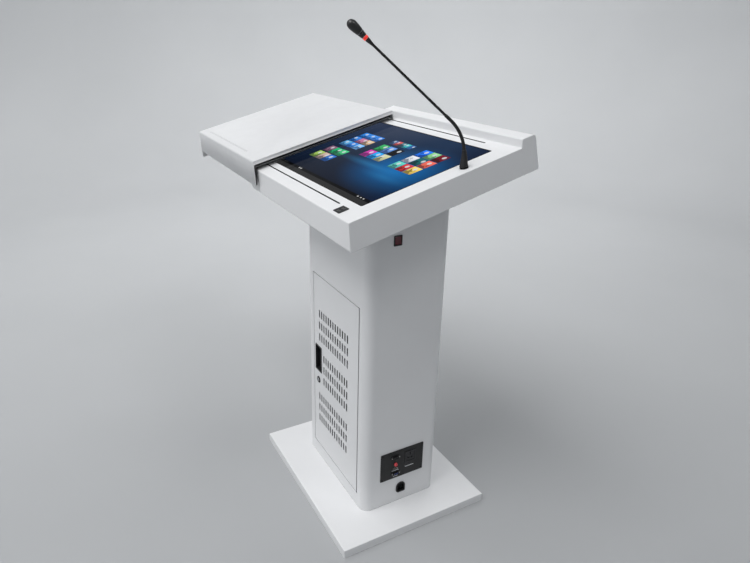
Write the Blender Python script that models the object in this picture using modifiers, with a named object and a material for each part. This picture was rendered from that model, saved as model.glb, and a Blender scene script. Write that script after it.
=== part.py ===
"""Multimedia lectern stand, built from its separate pieces.

X points to the speaker's right, Y away from the speaker and Z up.  The origin is the
centre of the base plate's underside, on the floor.  Units are metres.  Everything on
the sloping desk is drawn in the desk's own frame: X across, V up the slope, W out of it.
"""

import math

import bmesh
import bpy
from mathutils import Matrix, Vector

# ---------------------------------------------------------------- driving dimensions
GAP = 0.0003                          # kept between pieces that touch

BASE_WIDTH, BASE_DEPTH, BASE_HEIGHT = 0.628, 0.522, 0.028
BASE_SHEET = 0.002

COLUMN_WIDTH, COLUMN_DEPTH = 0.416, 0.276
COLUMN_CORNER = 0.030
COLUMN_SHEET = 0.0015
COLUMN_TOP = 1.12                     # before the sloping cut under the desk

DESK_WIDTH = 0.700
DESK_SLOPE = math.radians(14.7)
DESK_EDGE = (0.0, -0.276, 1.066)      # middle of the desk's front top edge
DESK_SHEET = 0.002
DESK_LENGTH = 0.582                   # up the slope, to the back face
DESK_DROP = 0.0765                    # from the top face to the bottom edge
DESK_LEAN = 0.014                     # how far the front face's foot leans out
RIDGE_FOOT, RIDGE_TOP, RIDGE_RISE = 0.531, 0.5355, 0.0235

PAN_HALF_WIDTH, PAN_DROP = 0.300, 0.027
PAN_FRONT, PAN_BREAK, PAN_BACK = 0.050, 0.410, 0.500

GLASS_X, GLASS_V = (-0.2963, 0.2912), (0.0686, 0.4800)
GLASS_CORNER, GLASS_THICK = 0.005, 0.004

COVER_LEFT, COVER_RIGHT = -0.916, -0.266
COVER_FRONT, COVER_BACK = -0.0085, 0.5185
COVER_TOP, COVER_SKIRT = 0.0334, 0.080
COVER_SHEET = 0.002
COVER_END_DROP = 0.025                # the left wall reaches this far below the skirt
COVER_LIP = 0.015                     # turned down along the right edge
COVER_TRAVEL = 0.563
GROOVE_X, GROOVE_V, GROOVE_DEEP = (-0.841, -0.399), 0.0195, 0.0011

SLOT_V = {"front": 0.0425, "rear": 0.5125}
SLOT_HALF, SLOT_RIGHT = 0.0025, 0.2245
TRACK_TOP = -0.006

DOOR_X, DOOR_Z = (-0.1555, 0.1590), (0.075, 0.735)
DOOR_GAP, DOOR_HINGE_GAP = 0.0020, 0.0035
DOOR_SHEET, DOOR_DEPTH = 0.0015, 0.016
DOOR_AXIS_INSET = 0.005               # the pivot's distance from the door's edge and face
VENT_WIDTH, VENT_HEIGHT = 0.0064, 0.029
VENT_PITCH_X, VENT_PITCH_Z = 0.0167, 0.0435
VENT_GROUPS = ((0.5560, 0.0885, 13), (0.3970, 0.0867, 11), (0.2340, 0.0850, 13))
VENT_ROWS = 3
HANDLE_CENTRE, HANDLE_SIZE = (-0.1198, 0.4273), (0.047, 0.098)
LOCK_CENTRE = (-0.1205, 0.3425)

SWITCH_CENTRE, SWITCH_SIZE = (-0.0460, 0.9435), (0.027, 0.031)
SWITCH_TILT = math.radians(8)
PANEL_CENTRE, PANEL_SIZE = (0.0018, 0.1785), (0.160, 0.104)
OUTLET_CENTRE, OUTLET_WIDTH, OUTLET_HEIGHT = (0.0005, 0.0800), 0.033, 0.038
USB_X, USB_V = (0.2470, 0.2795), (0.0105, 0.0415)

MIC_X, MIC_V = 0.3205, 0.3620
MIC_HEADING = math.radians(30)        # the neck leans towards the speaker, this far to the left
NECK_START = (0.0034, 0.0465)         # top of the boot, ahead of its foot and above it
NECK_RISE, NECK_END = math.radians(80), math.radians(41.7)
NECK_STRAIGHT, NECK_ARC = 0.0065, 0.078
NECK_RADIUS, STEM_RADIUS = 0.0044, 0.0031
NECK_JOINTS = (0.012, 0.038, 0.064, 0.090)   # along the neck from the boot's top
NECK_CLEAR = 0.0011
BOOT_SEAT, BOOT_RIM = 0.0034, 0.0020  # the boot's flat foot above the desk, and its straight ends
BOOT_RADII = (0.0118, 0.0056)
STEM_LENGTH, HEAD_LENGTH = 0.2868, 0.3488    # along the straight part, from its start
STEM_CONE, RING_RADIUS = 0.022, 0.0071        # the stem widens to meet the ring
WINDSCREEN_RADIUS, CAPSULE_END = 0.01225, 0.0215   # the capsule's end, past the stem

SHELVES = {"lower": 0.262, "upper": 0.480}
SHELF_SHEET = 0.0015

# ---------------------------------------------------------------- derived places
FACE_Y = -COLUMN_DEPTH / 2            # the column's face towards the speaker
SIDE_X = COLUMN_WIDTH / 2             # its face on the speaker's right
COLUMN_FOOT = BASE_HEIGHT + GAP
PAN_FLOOR = -DESK_DROP - PAN_DROP
DOOR_AXIS = (DOOR_X[1] - DOOR_AXIS_INSET, FACE_Y + DOOR_AXIS_INSET)

WORLD = Matrix.Identity(4)
DESK = Matrix.Translation(DESK_EDGE) @ Matrix.Rotation(DESK_SLOPE, 4, "X")

PLANES = {
    "XY": Matrix(((1, 0, 0), (0, 1, 0), (0, 0, 1))),
    "YZ": Matrix(((0, 0, 1), (1, 0, 0), (0, 1, 0))),
    "XZ": Matrix(((1, 0, 0), (0, 0, -1), (0, 1, 0))),
}

PARTS = None
CUTTERS = None


# ---------------------------------------------------------------- scene and materials
def clear_scene():
    for obj in list(bpy.data.objects):
        bpy.data.objects.remove(obj, do_unlink=True)


def new_collection(name):
    made = bpy.data.collections.new(name)
    bpy.context.scene.collection.children.link(made)
    return made


def finish(name, colour, roughness, metallic=0.0):
    """A Principled material in one plain colour."""
    made = bpy.data.materials.new(name)
    made.use_nodes = True
    shader = made.node_tree.nodes["Principled BSDF"]
    shader.inputs["Base Color"].default_value = (*colour, 1.0)
    shader.inputs["Roughness"].default_value = roughness
    shader.inputs["Metallic"].default_value = metallic
    return made


def pivot(name, place, frame=WORLD, parent=None):
    """An empty on a joint's axis, for the moving pieces to hang on."""
    empty = bpy.data.objects.new(name, None)
    empty.empty_display_size = 0.03
    PARTS.objects.link(empty)
    empty.parent = parent
    empty.matrix_world = frame @ Matrix.Translation(place)
    bpy.context.view_layer.update()
    return empty


# ---------------------------------------------------------------- shape helpers
def add(name, mesh, look, frame=WORLD, joint=None, round_sides=False):
    """One named piece of the object, drawn in a frame and hung on its joint's empty."""
    obj = bpy.data.objects.new(name, mesh)
    PARTS.objects.link(obj)
    hang(obj, frame, joint)
    mesh.materials.append(look)
    if round_sides:
        mesh.shade_smooth()
        mesh.set_sharp_from_angle(angle=math.radians(40))
    return obj


def hang(obj, frame, joint):
    if joint is None:
        obj.matrix_world = frame
        return
    obj.parent = joint
    obj.matrix_parent_inverse = joint.matrix_world.inverted() @ frame


def shape_with(obj, mesh, operation, frame=WORLD, joint=None):
    """Cut a shape out of a piece, or join it on, with a Boolean modifier."""
    step = len(obj.modifiers) + 1
    tool = bpy.data.objects.new(f"{obj.name}_{operation.lower()}_{step}", mesh)
    CUTTERS.objects.link(tool)
    hang(tool, frame, joint)
    tool.hide_render = True
    tool.display_type = "WIRE"
    boolean = obj.modifiers.new(tool.name, "BOOLEAN")
    boolean.operation = operation
    boolean.object = tool


def cut(obj, mesh, frame=WORLD, joint=None):
    shape_with(obj, mesh, "DIFFERENCE", frame, joint)


def join(obj, mesh, frame=WORLD, joint=None):
    shape_with(obj, mesh, "UNION", frame, joint)


def mesh_from(build, transform):
    shape = bmesh.new()
    build(shape)
    bmesh.ops.transform(shape, matrix=transform, verts=shape.verts)
    mesh = bpy.data.meshes.new("shape")
    shape.to_mesh(mesh)
    shape.free()
    return mesh


def box(low, high):
    """A block between two opposite corners."""
    low, high = Vector(low), Vector(high)
    place = Matrix.Translation((low + high) / 2) @ Matrix.Diagonal((*(high - low), 1.0))
    return mesh_from(lambda shape: bmesh.ops.create_cube(shape, size=1.0), place)


def rod(start, end, radius, sides=16):
    """A round bar between two points."""
    start, end = Vector(start), Vector(end)
    along = end - start
    turn = along.to_track_quat("Z", "Y").to_matrix().to_4x4()
    return mesh_from(
        lambda shape: bmesh.ops.create_cone(
            shape, cap_ends=True, segments=sides, radius1=radius, radius2=radius,
            depth=along.length,
        ),
        Matrix.Translation((start + end) / 2) @ turn,
    )


def rectangle(a, b):
    return [(a[0], b[0]), (a[1], b[0]), (a[1], b[1]), (a[0], b[1])]


def centred(centre, size):
    """The corners of a rectangle given by its middle and its size."""
    half_a, half_b = size[0] / 2, size[1] / 2
    return rectangle(
        (centre[0] - half_a, centre[0] + half_a), (centre[1] - half_b, centre[1] + half_b)
    )


def rounded(corners, radii, steps=4):
    """An outline whose corners are arcs; a radius of zero leaves a corner sharp."""
    if not isinstance(radii, (list, tuple)):
        radii = [radii] * len(corners)
    outline = []
    for index, (corner, radius) in enumerate(zip(corners, radii)):
        here = Vector(corner)
        if radius == 0:
            outline.append(tuple(here))
            continue
        back = (Vector(corners[index - 1]) - here).normalized()
        ahead = (Vector(corners[(index + 1) % len(corners)]) - here).normalized()
        half = math.acos(max(-1.0, min(1.0, back.dot(ahead)))) / 2
        middle = here + (back + ahead).normalized() * radius / math.sin(half)
        start = here + back * radius / math.tan(half) - middle
        end = here + ahead * radius / math.tan(half) - middle
        sweep = start.angle_signed(end)
        for step in range(steps + 1):
            turned_by = -sweep * step / steps
            cosine, sine = math.cos(turned_by), math.sin(turned_by)
            spoke = Vector((start.x * cosine - start.y * sine, start.x * sine + start.y * cosine))
            outline.append(tuple(middle + spoke))
    return outline


def circle(centre, radius, sides=20):
    return [
        (
            centre[0] + radius * math.cos(2 * math.pi * step / sides),
            centre[1] + radius * math.sin(2 * math.pi * step / sides),
        )
        for step in range(sides)
    ]


def prism(outlines, low, high, plane):
    """A flat outline, with any holes, extruded between two places across its plane."""
    curve = bpy.data.curves.new("outline", "CURVE")
    curve.dimensions = "2D"
    curve.fill_mode = "BOTH"
    curve.extrude = abs(high - low) / 2
    for outline in outlines:
        spline = curve.splines.new("POLY")
        spline.points.add(len(outline) - 1)
        for point, (a, b) in zip(spline.points, outline):
            point.co = (a, b, 0.0, 1.0)
        spline.use_cyclic_u = True
    middle = (low + high) / 2
    across = -middle if plane == "XZ" else middle
    return solid_from_curve(curve, PLANES[plane].to_4x4() @ Matrix.Translation((0, 0, across)))


def solid_from_curve(curve, transform):
    """A curve's evaluated surface as a closed mesh, with its caps welded on."""
    holder = bpy.data.objects.new("outline", curve)
    PARTS.objects.link(holder)
    bpy.context.view_layer.update()
    view = bpy.context.evaluated_depsgraph_get()
    mesh = bpy.data.meshes.new_from_object(holder.evaluated_get(view))
    bpy.data.objects.remove(holder, do_unlink=True)
    shape = bmesh.new()
    shape.from_mesh(mesh)
    bmesh.ops.remove_doubles(shape, verts=shape.verts, dist=0.00001)
    bmesh.ops.transform(shape, matrix=transform, verts=shape.verts)
    bmesh.ops.recalc_face_normals(shape, faces=shape.faces)
    shape.to_mesh(mesh)
    shape.free()
    mesh.materials.clear()
    return mesh


def turned(name, profile, look, frame, joint=None, sides=20):
    """A turned piece: a profile of (radius, height) about the frame's Z, outer side downwards."""
    mesh = bpy.data.meshes.new(name)
    closed = profile[0][0] > 0
    links = [(step, step + 1) for step in range(len(profile) - 1)]
    if closed:
        links.append((len(profile) - 1, 0))
    mesh.from_pydata([(radius, 0.0, height) for radius, height in profile], links, [])
    obj = add(name, mesh, look, frame, joint)
    screw = obj.modifiers.new("turn", "SCREW")
    screw.steps = sides
    screw.render_steps = sides
    screw.use_merge_vertices = True
    screw.merge_threshold = 0.00001
    screw.use_smooth_shade = True
    return obj


def tube(name, points, radii, look, joint=None):
    """A bent round bar through points, with its radius given at each."""
    curve = bpy.data.curves.new(name, "CURVE")
    curve.dimensions = "3D"
    curve.bevel_depth = max(radii)
    curve.bevel_resolution = 4
    curve.use_fill_caps = True
    spline = curve.splines.new("POLY")
    spline.points.add(len(points) - 1)
    for point, place, radius in zip(spline.points, points, radii):
        point.co = (*place, 1.0)
        point.radius = radius / max(radii)
    return add(name, solid_from_curve(curve, Matrix.Identity(4)), look, WORLD, joint, True)


def sleeve_box(name, outer_low, outer_high, flange, wall, open_side, look, joint=None):
    """A cup with square corners and a flange round its mouth.

    open_side is "-Y" or "+X"; flange is (reach past the cup, thickness)."""
    low, high = Vector(outer_low), Vector(outer_high)
    obj = add(name, box(low, high), look, WORLD, joint)
    reach, thick = flange
    axis, sign = (1, -1) if open_side == "-Y" else (0, 1)
    others = [index for index in range(3) if index != axis]
    mouth = low[axis] if sign < 0 else high[axis]
    rim_low, rim_high = low.copy(), high.copy()
    hollow_low, hollow_high = low.copy(), high.copy()
    for index in others:
        rim_low[index] -= reach
        rim_high[index] += reach
        hollow_low[index] += wall
        hollow_high[index] -= wall
    ends = sorted((mouth, mouth + sign * thick))
    rim_low[axis], rim_high[axis] = ends
    if reach:
        rim_low[axis] -= 0.0001 * (sign > 0)
        rim_high[axis] += 0.0001 * (sign < 0)
        join(obj, box(rim_low, rim_high), WORLD, joint)
    hollow_low[axis] = low[axis] - 0.02 if sign < 0 else low[axis] + wall
    hollow_high[axis] = high[axis] - wall if sign < 0 else high[axis] + 0.02
    cut(obj, box(hollow_low, hollow_high), WORLD, joint)
    return obj


# ---------------------------------------------------------------- base and column
def build_base(looks):
    """A folded steel tray over a thick board that stands on the floor."""
    half_x, half_y = BASE_WIDTH / 2, BASE_DEPTH / 2
    edge = 0.0015
    tray = add("base_cover", box((-half_x, -half_y, 0), (half_x, half_y, BASE_HEIGHT)),
               looks["white"])
    bevel = tray.modifiers.new("folded_edges", "BEVEL")
    bevel.width = edge
    bevel.segments = 2
    inner_x, inner_y = half_x - BASE_SHEET, half_y - BASE_SHEET
    cut(tray, box((-inner_x, -inner_y, -0.01), (inner_x, inner_y, BASE_HEIGHT - BASE_SHEET)))
    board_top = BASE_HEIGHT - BASE_SHEET - GAP
    board_x, board_y = inner_x - 0.001, inner_y - 0.001
    board = add("base_board", box((-board_x, -board_y, 0), (board_x, board_y, board_top)),
                looks["board"])
    for place in bolt_places():
        hole = rod((*place, -0.01), (*place, 0.05), 0.0056)
        cut(tray, hole)
        cut(board, hole.copy())


def bolt_places():
    reach_x = COLUMN_WIDTH / 2 - 0.034
    reach_y = COLUMN_DEPTH / 2 - 0.034
    return [(x, y) for x in (-reach_x, reach_x) for y in (-reach_y, reach_y)]


def column_outline(inset):
    corners = centred((0, 0), (COLUMN_WIDTH - 2 * inset, COLUMN_DEPTH - 2 * inset))
    return rounded(corners, COLUMN_CORNER - inset, 6)


def build_column(looks):
    shell = add(
        "column_shell",
        prism([column_outline(0), column_outline(COLUMN_SHEET)], COLUMN_FOOT, COLUMN_TOP, "XY"),
        looks["white"], round_sides=True,
    )
    cut(shell, box((-0.4, -0.1, PAN_FLOOR - GAP), (0.4, 0.7, PAN_FLOOR + 0.3)), DESK)
    cut(shell, box(
        (DOOR_X[0] - DOOR_GAP, FACE_Y - 0.01, DOOR_Z[0] - DOOR_GAP),
        (DOOR_X[1] + DOOR_HINGE_GAP, FACE_Y + 0.01, DOOR_Z[1] + DOOR_GAP),
    ))
    cut(shell, side_block(SWITCH_CENTRE, (0.0246, 0.0286)))
    cut(shell, side_block(PANEL_CENTRE, (0.1466, 0.0886)))
    cut(shell, prism([outlet_outline(0)], SIDE_X - 0.01, SIDE_X + 0.01, "YZ"))

    foot_ring = [column_outline(COLUMN_SHEET + GAP), rounded(
        centred((0, 0), (COLUMN_WIDTH - 0.110, COLUMN_DEPTH - 0.110)), 0.008, 3)]
    foot_ring += [circle(place, 0.0056, 12) for place in bolt_places()]
    add("column_foot_flange", prism(foot_ring, COLUMN_FOOT, COLUMN_FOOT + 0.004, "XY"),
        looks["steel"])
    for index, place in enumerate(bolt_places(), 1):
        seat = COLUMN_FOOT + 0.004 + GAP
        bolt = add(f"column_bolt_{index}", rod((*place, seat), (*place, seat + 0.0065), 0.0092, 6),
                   looks["steel"])
        join(bolt, rod((*place, 0.012), (*place, seat + 0.001), 0.0048, 12))

    head = add(
        "column_head_flange",
        prism([
            rounded(centred((0, 0.2582), (COLUMN_WIDTH - 0.006, COLUMN_DEPTH - 0.002)), 0.028, 4),
            rounded(centred((0, 0.2582), (COLUMN_WIDTH - 0.080, COLUMN_DEPTH - 0.080)), 0.008, 3),
        ], PAN_FLOOR - GAP - 0.004, PAN_FLOOR - GAP, "XY"),
        looks["steel"], DESK,
    )
    trim = [(-0.30, -0.30, 0.30, FACE_Y + COLUMN_SHEET + GAP),
            (-0.30, -FACE_Y - COLUMN_SHEET - GAP, 0.30, 0.30)]
    for x0, y0, x1, y1 in trim:
        cut(head, box((x0, y0, 0.9), (x1, y1, 1.3)))


def side_block(centre, size):
    """A block through the column's wall on the speaker's right."""
    return box(
        (SIDE_X - 0.01, centre[0] - size[0] / 2, centre[1] - size[1] / 2),
        (SIDE_X + 0.01, centre[0] + size[0] / 2, centre[1] + size[1] / 2),
    )


def outlet_outline(inset):
    """An arch with a flat foot."""
    half, high = OUTLET_WIDTH / 2 - inset, OUTLET_HEIGHT / 2 - inset
    corners = rectangle((-half, half), (-high, high))
    outline = rounded(corners, [0.004, 0.004, half - 0.0002, half - 0.0002], 5)
    return [(a + OUTLET_CENTRE[0], b + OUTLET_CENTRE[1]) for a, b in outline]


def build_shelves(looks):
    """Two folded shelves behind the door, with the equipment that stands on them."""
    half_x = COLUMN_WIDTH / 2 - COLUMN_SHEET - 0.001
    half_y = COLUMN_DEPTH / 2 - COLUMN_SHEET - 0.001
    front_y = FACE_Y + 0.030
    for level, height in SHELVES.items():
        shelf = add(
            f"shelf_{level}",
            box((-half_x, front_y, height - 0.018), (half_x, half_y - 0.030, height)),
            looks["steel"],
        )
        cut(shelf, box(
            (-half_x + SHELF_SHEET, front_y + SHELF_SHEET, height - 0.03),
            (half_x - SHELF_SHEET, half_y - 0.030 - SHELF_SHEET, height - SHELF_SHEET),
        ))
    deck = SHELVES["upper"] + GAP
    add("control_unit", box((-0.150, -0.090, deck), (0.150, 0.080, deck + 0.044)), looks["black"])
    deck = SHELVES["lower"] + GAP
    add("mini_computer", box((-0.140, -0.085, deck), (0.110, 0.085, deck + 0.090)), looks["black"])
    wall = -SIDE_X + COLUMN_SHEET + GAP
    add("power_strip", box((wall, -0.030, 0.50), (wall + 0.036, 0.025, 0.78)), looks["black"])


# ---------------------------------------------------------------- door and lock
def vent_outlines():
    """The long upright vents, in three groups of three rows."""
    outlines = []
    for middle, last_x, columns in VENT_GROUPS:
        for row in range(VENT_ROWS):
            centre_z = middle + (row - (VENT_ROWS - 1) / 2) * VENT_PITCH_Z
            for column in range(columns):
                centre_x = last_x - column * VENT_PITCH_X
                corners = centred((centre_x, centre_z), (VENT_WIDTH, VENT_HEIGHT))
                outlines.append(rounded(corners, VENT_WIDTH * 0.42, 1))
    return outlines


def build_door(looks, joint):
    holes = [
        centred(HANDLE_CENTRE, (HANDLE_SIZE[0] - 0.004, HANDLE_SIZE[1] - 0.004)),
        circle(LOCK_CENTRE, 0.0098),
    ]
    outer = rounded(rectangle(DOOR_X, DOOR_Z), 0.001, 1)
    add("door_panel",
        prism([outer] + holes + vent_outlines(), FACE_Y, FACE_Y + DOOR_SHEET, "XZ"),
        looks["white"], joint=joint)
    rim_back = FACE_Y + DOOR_DEPTH
    inner_x = (DOOR_X[0] + 0.0015, DOOR_X[1] - 0.0015)
    inner_z = (DOOR_Z[0] + 0.0015, DOOR_Z[1] - 0.0015)
    add("door_rim",
        prism([rectangle(DOOR_X, DOOR_Z), rectangle(inner_x, inner_z)],
              FACE_Y + DOOR_SHEET + GAP, rim_back, "XZ"),
        looks["white"], joint=joint)

    half_x, half_z = HANDLE_SIZE[0] / 2 - 0.0024, HANDLE_SIZE[1] / 2 - 0.0024
    sleeve_box(
        "door_handle_cup",
        (HANDLE_CENTRE[0] - half_x, FACE_Y - GAP, HANDLE_CENTRE[1] - half_z),
        (HANDLE_CENTRE[0] + half_x, FACE_Y + 0.0145, HANDLE_CENTRE[1] + half_z),
        (0.0024, 0.0016), 0.0018, "-Y", looks["black"], joint,
    )

    stop_x = (DOOR_X[0] - 0.008, DOOR_X[1] + 0.014)
    stop_z = (DOOR_Z[0] - 0.003, DOOR_Z[1] + 0.003)
    lip_x = (DOOR_X[0] + 0.012, DOOR_X[1] - 0.012)
    lip_z = (DOOR_Z[0] + 0.012, DOOR_Z[1] - 0.012)
    stop_front = FACE_Y + DOOR_DEPTH + 0.0018
    add("door_stop_frame",
        prism([rectangle(stop_x, stop_z), rectangle(lip_x, lip_z)],
              stop_front, stop_front + 0.0015, "XZ"),
        looks["white"])

    for side, edge, way in (("upper", DOOR_Z[1], 1), ("lower", DOOR_Z[0], -1)):
        near, far = edge + way * 0.0032, edge + way * 0.0052
        outline = rectangle((DOOR_AXIS[0] - 0.010, DOOR_AXIS[0] + 0.022),
                            (FACE_Y + COLUMN_SHEET + GAP, FACE_Y + DOOR_DEPTH + 0.0010))
        add(f"pivot_bracket_{side}",
            prism([outline, circle(DOOR_AXIS, 0.0024, 16)], min(near, far), max(near, far), "XY"),
            looks["steel"])
        add(f"pivot_pin_{side}",
            rod((*DOOR_AXIS, edge + way * GAP), (*DOOR_AXIS, edge + way * 0.0070), 0.0020, 16),
            looks["steel"], joint=joint, round_sides=True)


def build_lock(looks, door_joint, lock_joint):
    """A cam lock: a fixed barrel with its nut, and a plug that turns the cam."""
    place = Matrix.Translation((LOCK_CENTRE[0], FACE_Y, LOCK_CENTRE[1]))
    frame = place @ Matrix.Rotation(math.radians(90), 4, "X")    # Z of this frame is -Y
    turned("lock_barrel", [
        (0.0072, 0.0030), (0.0115, 0.0020), (0.0120, 0.0012), (0.0120, GAP), (0.0094, GAP),
        (0.0094, -0.0185), (0.0072, -0.0185),
    ], looks["chrome"], frame, door_joint)
    turned("lock_plug", [
        (0.0, 0.0022), (0.0058, 0.0022), (0.0068, 0.0014), (0.0068, -0.0190), (0.0, -0.0190),
    ], looks["chrome"], frame, lock_joint)
    nut = [rounded(centred(LOCK_CENTRE, (0.024, 0.024)), 0.003, 2), circle(LOCK_CENTRE, 0.0098)]
    add("lock_nut", prism(nut, FACE_Y + 0.0019, FACE_Y + 0.0059, "XZ"), looks["steel"],
        joint=door_joint)
    reach = rounded(rectangle((LOCK_CENTRE[0] - 0.007, LOCK_CENTRE[0] + 0.007),
                              (LOCK_CENTRE[1] - 0.036, LOCK_CENTRE[1] + 0.008)), 0.004, 2)
    add("lock_cam", prism([reach], FACE_Y + 0.0198, FACE_Y + 0.0218, "XZ"), looks["steel"],
        joint=lock_joint)


# ---------------------------------------------------------------- switch, sockets, outlet
def build_switch(looks, joint):
    y, z = SWITCH_CENTRE
    sleeve_box(
        "switch_housing",
        (SIDE_X - 0.018, y - 0.0120, z - 0.0140), (SIDE_X + GAP, y + 0.0120, z + 0.0140),
        (0.0015, 0.0020), 0.0010, "+X", looks["black"],
    )
    front = SIDE_X + 0.0012
    corners = [
        (front - 0.0090, -0.0080), (front + 0.0022, -0.0115), (front + 0.0004, 0.0),
        (front + 0.0022, 0.0115), (front - 0.0090, 0.0080),
    ]
    spin = Matrix.Rotation(-SWITCH_TILT, 4, "Y")
    about = Matrix.Translation((SIDE_X - 0.004, y, z))
    outline = [(x - SIDE_X + 0.004, height) for x, height in corners]
    add("switch_rocker", prism([outline], -0.0100, 0.0100, "XZ"), looks["red"],
        about @ spin, joint)


def build_sockets(looks):
    """The black socket plate low on the column, with its back box and sockets."""
    y, z = PANEL_CENTRE
    plate_back = SIDE_X + GAP
    plate_front = plate_back + 0.0022
    mouth = centred((0.032, 0.194), (0.0425, 0.0425))
    add("socket_plate",
        prism([rounded(centred(PANEL_CENTRE, PANEL_SIZE), 0.002, 2), mouth],
              plate_back, plate_front, "YZ"),
        looks["black"])
    sleeve_box(
        "socket_back_box",
        (SIDE_X - 0.045, y - 0.0730, z - 0.0440), (SIDE_X - 0.0004, y + 0.0730, z + 0.0440),
        (0.0, 0.0), 0.0015, "+X", looks["steel"],
    )
    for name, centre in (("upper", (-0.0250, 0.2080)), ("lower", (-0.0225, 0.1460))):
        flange = add(
            f"video_socket_{name}",
            prism([rounded(centred(centre, (0.0330, 0.0125)), 0.002, 2)],
                  plate_front + GAP, plate_front + 0.0013, "YZ"),
            looks["nickel"],
        )
        a, b = centre
        wedge = [(a - 0.0078, b - 0.0040), (a + 0.0078, b - 0.0040),
                 (a + 0.0088, b + 0.0040), (a - 0.0088, b + 0.0040)]
        join(flange, prism([rounded(wedge, 0.0018, 2)], plate_front + 0.0008,
                           plate_front + 0.0060, "YZ"))
    frame = Matrix.Translation((plate_front + GAP, -0.0230, 0.1795)) @ \
        Matrix.Rotation(math.radians(90), 4, "Y")
    turned("audio_jack", [
        (0.0018, 0.0042), (0.0046, 0.0042), (0.0052, 0.0034), (0.0052, 0.0006),
        (0.0062, 0.0), (0.0018, 0.0),
    ], looks["red"], frame)
    port = [rounded(centred((-0.0240, 0.1635), (0.0175, 0.0070)), 0.001, 1),
            rounded(centred((-0.0240, 0.1635), (0.0145, 0.0045)), 0.0008, 1)]
    add("digital_port", prism(port, plate_front + GAP, plate_front + 0.0022, "YZ"),
        looks["nickel"])
    holes = [rounded(centred(place, size), 0.0008, 1) for place, size in (
        ((0.0320, 0.2030), (0.0030, 0.0075)),
        ((0.0250, 0.1885), (0.0068, 0.0034)),
        ((0.0390, 0.1885), (0.0068, 0.0034)),
    )]
    insert = rounded(centred((0.032, 0.194), (0.0418, 0.0418)), 0.002, 2)
    add("mains_outlet", prism([insert] + holes, plate_front - 0.014, plate_front + 0.0012, "YZ"),
        looks["black"])

    ring = [outlet_outline(0.0004), outlet_outline(0.0030)]
    sleeve = add("cable_grommet", prism(ring, SIDE_X - 0.008, SIDE_X + 0.0025, "YZ"),
                 looks["rubber"])
    lip = [outlet_outline(-0.0020), outlet_outline(0.0030)]
    join(sleeve, prism(lip, SIDE_X + GAP, SIDE_X + 0.0028, "YZ"))


# ---------------------------------------------------------------- desk
def desk_profile(inset):
    """The desk's side view in (V, W), its sheet's outer face or an inner offset of it."""
    front = inset * 1.016
    corners = [
        (-DESK_LEAN + front, -DESK_DROP + inset),
        (DESK_LENGTH - inset, -DESK_DROP + inset),
        (DESK_LENGTH - inset, RIDGE_RISE - inset),
        (RIDGE_TOP + inset, RIDGE_RISE - inset),
        (RIDGE_FOOT + inset, -inset),
        (front - DESK_LEAN * inset / DESK_DROP, -inset),
    ]
    radii = [0.006, 0.004, 0.012, 0.005, 0.003, 0.004]
    smallest = 0.0008
    grow = [-1, -1, -1, -1, 1, -1]
    radii = [max(smallest, radius + way * inset) for radius, way in zip(radii, grow)]
    return rounded(corners, radii, 3)


def build_desk(looks):
    half = DESK_WIDTH / 2
    shell = add("desk_shell", prism([desk_profile(0)], -half, half, "YZ"), looks["white"], DESK,
                round_sides=True)
    bevel = shell.modifiers.new("folded_edges", "BEVEL")
    bevel.width = 0.0015
    bevel.segments = 2
    bevel.limit_method = "ANGLE"
    bevel.angle_limit = math.radians(60)
    inner = half - DESK_SHEET
    cut(shell, prism([desk_profile(DESK_SHEET)], -inner, inner, "YZ"), DESK)
    mouth = PAN_HALF_WIDTH - 0.015
    cut(shell, box((-mouth, PAN_FRONT + 0.015, -0.09), (mouth, PAN_BACK - 0.015, -0.07)), DESK)
    window = rounded(
        rectangle((GLASS_X[0] - 0.0006, GLASS_X[1] + 0.0006),
                  (GLASS_V[0] - 0.0006, GLASS_V[1] + 0.0006)),
        GLASS_CORNER, 4,
    )
    cut(shell, prism([window], -0.006, 0.006, "XY"), DESK)
    for v in SLOT_V.values():
        slot = rounded(rectangle((-half - 0.01, SLOT_RIGHT), (v - SLOT_HALF, v + SLOT_HALF)),
                       [0, 0.0024, 0.0024, 0], 3)
        cut(shell, prism([slot], -0.010, 0.006, "XY"), DESK)
        cut(shell, box((-half - 0.01, v - 0.0105, -0.036), (-inner + 0.003, v + 0.0105, -0.0045)),
            DESK)
    cut(shell, box((USB_X[0] + 0.002, USB_V[0] + 0.002, -0.01),
                   (USB_X[1] - 0.002, USB_V[1] - 0.002, 0.01)), DESK)
    cut(shell, rod((MIC_X, MIC_V, -0.01), (MIC_X, MIC_V, 0.01), 0.0105, 20), DESK)

    pan_outline = [
        (PAN_FRONT, -DESK_DROP - GAP), (PAN_FRONT, PAN_FLOOR), (PAN_BREAK, PAN_FLOOR),
        (PAN_BACK, -DESK_DROP - GAP - 0.003), (PAN_BACK, -DESK_DROP - GAP),
    ]
    pan = add("desk_pan", prism([rounded(pan_outline, [0, 0.003, 0.003, 0, 0], 2)],
                                -PAN_HALF_WIDTH, PAN_HALF_WIDTH, "YZ"), looks["white"], DESK)
    sheet = DESK_SHEET
    pan_inner = [
        (PAN_FRONT + sheet, -DESK_DROP + 0.01), (PAN_FRONT + sheet, PAN_FLOOR + sheet),
        (PAN_BREAK - 0.001, PAN_FLOOR + sheet), (PAN_BACK - 0.008, -DESK_DROP - GAP),
        (PAN_BACK - 0.008, -DESK_DROP + 0.01),
    ]
    reach = PAN_HALF_WIDTH - sheet
    cut(pan, prism([pan_inner], -reach, reach, "YZ"), DESK)
    cut(pan, box((-0.12, 0.19, PAN_FLOOR - 0.01), (0.12, 0.33, PAN_FLOOR + 0.01)), DESK)


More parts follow.
